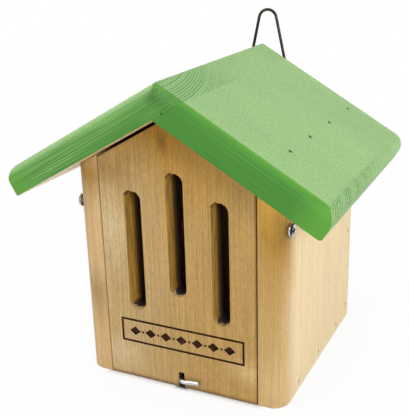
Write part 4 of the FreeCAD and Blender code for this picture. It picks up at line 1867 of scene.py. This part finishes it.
def front_pine() -> Pine:
    """The front panel's pine: golden to the right and paler to the left, where the pale is a painted sheen;
    pale and dark cloudy patches, a knot, painted shade under the roof, and darker lines along its foot and
    right-hand edge.

    Returns:
        The finish.
    """
    clouds_sheen_and_shade = (
        # painted sheen: pale patches on the left third
        Patch((-50.0, -72.5, 108.0), (22.0, 30.0, 28.0), (0.55, 0.42, 0.235), 0.6),
        Patch((-48.0, -72.5, 16.0), (26.0, 30.0, 18.0), (0.55, 0.415, 0.23), 0.7),
        Patch((50.0, -72.5, 22.0), (20.0, 30.0, 13.0), (0.55, 0.37, 0.155), 0.8),
        Patch((-38.0, -72.5, 62.0), (18.0, 30.0, 30.0), (0.4, 0.265, 0.105), 0.7),
        # painted shade under the roof, at the top of the gable
        Patch((0.0, -72.5, 186.0), (85.0, 40.0, 66.0), (0.36, 0.185, 0.01), 1.0),
        Patch((-6.0, -72.5, 171.0), (15.0, 30.0, 19.0), (0.43, 0.22, 0.012), 0.8),
        Patch((-7.0, -72.5, 169.5), (4.5, 30.0, 10.0), (0.2, 0.09, 0.006), 0.75),
        # painted shade under the left eave
        Patch((-48.0, -72.5, 148.0), (20.0, 30.0, 14.0), (0.33, 0.2, 0.055), 0.8),
        # darker along the foot and along the right-hand edge
        Patch((0.0, -72.5, 0.2), (400.0, 60.0, 3.2), (0.12, 0.062, 0.01), 0.9),
        Patch((54.6, -72.5, 75.0), (1.6, 60.0, 200.0), (0.14, 0.075, 0.02), 0.8),
    )
    return Pine(
        "front_pine", Sawing(pith=(-150.0, -20.0), ring=1.7, shift=31.0),
        early=(0.475, 0.35, 0.178), late=(0.31, 0.19, 0.075), ring_share=0.8,
        # the fade leaves the left paler, as a painted sheen, and turns golden to the right
        fade=Fade("X", -55.0, 25.0, (0.415, 0.25, 0.075)), patches=clouds_sheen_and_shade,
    )


def side_pines() -> dict[str, Pine]:
    """The side panels' pine: darker at the front corners, partly the wood and partly painted shade under
    the eaves, with painted light at the very top of the right corner, and pale sapwood further back.

    Returns:
        The finishes by board.
    """
    strip = (
        Patch((-62.0, -72.5, 58.0), (13.0, 16.0, 28.0), (0.34, 0.21, 0.08), 0.9),
        # painted shade under the left eave, at the top of the front strip
        Patch((-62.0, -72.5, 142.0), (14.0, 16.0, 18.0), (0.36, 0.2, 0.03), 0.9),
    )
    corner = (
        # darker top of the right front corner: partly the wood, partly painted shade under the eave
        Patch((66.0, -73.0, 118.0), (26.0, 22.0, 66.0), (0.34, 0.185, 0.026), 1.0),
        # painted light: a lighter patch at the very top of the right corner
        Patch((66.0, -73.0, 136.0), (22.0, 18.0, 22.0), (0.66, 0.38, 0.055), 0.9),
        Patch((64.0, -73.0, 14.0), (16.0, 18.0, 34.0), (0.6, 0.42, 0.2), 0.6),
    )
    sap = (0.73, 0.57, 0.325)
    return {
        "left_side_panel": Pine(
            "left_side_pine", Sawing(pith=(-30.0, -190.0), ring=3.0, shift=-70.0),
            early=(0.58, 0.4, 0.205), figure=0.7, fade=Fade("Y", -68.0, -40.0, sap), patches=strip,
        ),
        "right_side_panel": Pine(
            "right_side_pine", Sawing(pith=(40.0, -210.0), ring=3.0, shift=140.0),
            early=(0.48, 0.32, 0.122), figure=0.6, fade=Fade("Y", -73.0, -52.0, sap), patches=corner,
        ),
    }


def bare_roof() -> Pine:
    """The roof's undersides: painted shade inside the box, and pine painted paler than the wood as painted
    light, palest under the overhangs.

    Returns:
        The finish.
    """
    # painted light: the pine under the overhangs is painted paler than the wood, which is lit only from
    # below
    bare = (0.95, 0.78, 0.56)
    overhangs = (
        Patch((-100.0, 0.0, 120.0), (55.0, 500.0, 500.0), bare, 1.0),
        Patch((100.0, 0.0, 120.0), (55.0, 500.0, 500.0), bare, 1.0),
        Patch((0.0, 90.0, 160.0), (500.0, 30.0, 500.0), bare, 1.0),
    )
    return Pine(
        "roof_bare_pine", Sawing(turn=(0.0, 60.0, 0.0)),
        # painted light: the underside pine itself is painted paler
        early=(0.85, 0.64, 0.38), late=(0.6, 0.4, 0.2), warm=(0.75, 0.53, 0.28),
        # painted shade: the undersides darken to near black behind the front, inside the box
        fade=Fade("Y", -77.0, -71.0, (0.08, 0.05, 0.022)), patches=overhangs,
    )


def roof_stains() -> dict[str, GreenStain]:
    """The green stain of both roof boards, the left one with painted shade on its front edge by the ridge.

    Returns:
        The finishes by board.
    """
    # painted shade below the nose of the right slope's round
    nose_shade = (0.024, 0.11, 0.013)
    # painted shade by the ridge: dark patches below the right slope's round, the deep colour held over the
    # crease, and a dark line and spot in the crease where the two rounds meet
    marks = (
        Patch((105.5, -9.0, 103.0), (7.0, 7.0, 8.0), nose_shade, 0.7),
        Patch((112.7, -9.0, 106.4), (7.0, 7.0, 8.0), nose_shade, 0.55),
        Patch((117.0, -9.0, 70.0), (12.0, 30.0, 80.0), (0.044, 0.188, 0.02), 0.9),
        Patch((117.2, -9.0, 108.4), (0.6, 6.0, 8.0), (0.008, 0.03, 0.005), 0.9),
        Patch((116.8, -9.0, 102.6), (1.2, 5.0, 1.2), (0.003, 0.006, 0.003), 1.0),
    )
    house = House()
    return {
        "left_roof": GreenStain(
            "left_green_stain", Sawing(pith=(-281.0, -86.0), ring=1.5, turn=(0.0, -60.0, 0.0), sway=1.5),
            tuple(house.downhill(Side.LEFT)), deep=(0.044, 0.188, 0.02), light=(0.25, 0.49, 0.14),
            soaked=(0.08, 0.22, 0.042), streaks=0.85, lines=0.6, torn=0.4, patches=marks,
        ),
        "right_roof": GreenStain(
            "right_green_stain", Sawing(pith=(235.0, -120.0), ring=2.3, turn=(0.0, 60.0, 0.0), sway=2.5),
            tuple(house.downhill(Side.RIGHT)), soaked=(0.04, 0.14, 0.02),
            streaks=0.4, lines=0.1, torn=0.7, end_grain=(0.03, 0.25), end_fade=(0.4, 0.75),
        ),
    }


def finishes() -> dict[str, Finish]:
    """Write every finish.

    Returns:
        The materials by name.
    """
    # painted shade: the notch's walls and floor are painted near black
    notch_shade = (0.045, 0.026, 0.01)
    made = {
        "front_panel": front_pine(),
        **side_pines(),
        "back_panel": Pine("back_pine", Sawing(pith=(25.0, 130.0), ring=3.2, shift=260.0)),
        "floor_board": Pine("floor_pine", Sawing(pith=(-20.0, 40.0), ring=2.8, turn=(0.0, 90.0, 0.0))),
        "roof_underside": bare_roof(),
        "routed": RoutedWood("routed_pine"),
        # painted shade: the tears at the slots' upper ends are painted dark, darker than the routed wood
        "torn": RoutedWood("torn_pine", mouth=(0.19, 0.11, 0.02), sill=(0.24, 0.15, 0.04)),
        "notch": RoutedWood("notch_pine", mouth=notch_shade, sill=notch_shade),
        **roof_stains(),
        "scorch": Scorch(),
        "zinc": Metal("bright_zinc", (0.68, 0.68, 0.68), (0.46, 0.46, 0.47), (0.2, 0.35)),
        "hanger_steel": Metal("drawn_steel", (0.06, 0.053, 0.036), (0.03, 0.026, 0.017), (0.3, 0.45)),
        # painted shade and dark reflection for the screws' recesses and crown edges
        "screw_shade": Metal("black_tarnish", (0.03, 0.027, 0.025), (0.015, 0.013, 0.012), (0.35, 0.5)),
        "brad_steel": Metal("dull_brad_steel", (0.12, 0.11, 0.1), (0.05, 0.045, 0.04), (0.5, 0.7)),
    }
    return {name: finish.material() for name, finish in made.items()}


def main() -> None:
    """Load the frame, build every piece on it and set up the studio."""
    logging.basicConfig(level=logging.INFO, format="%(name)s: %(message)s")
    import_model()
    house = House()
    made = finishes()
    brads = Brads(house)
    Carcass(house).build(made, brads.pockets)
    SwingFront(house).build(made)
    GableRoof(house).build(made, brads.pockets)
    brads.build(made["brad_steel"])
    PivotScrews(house).build(made["zinc"], made["screw_shade"])
    LatchHook(house).build(made["zinc"])
    Hanger(house).build(made["hanger_steel"])
    Studio().build()


if __name__ == "__main__":
    main()
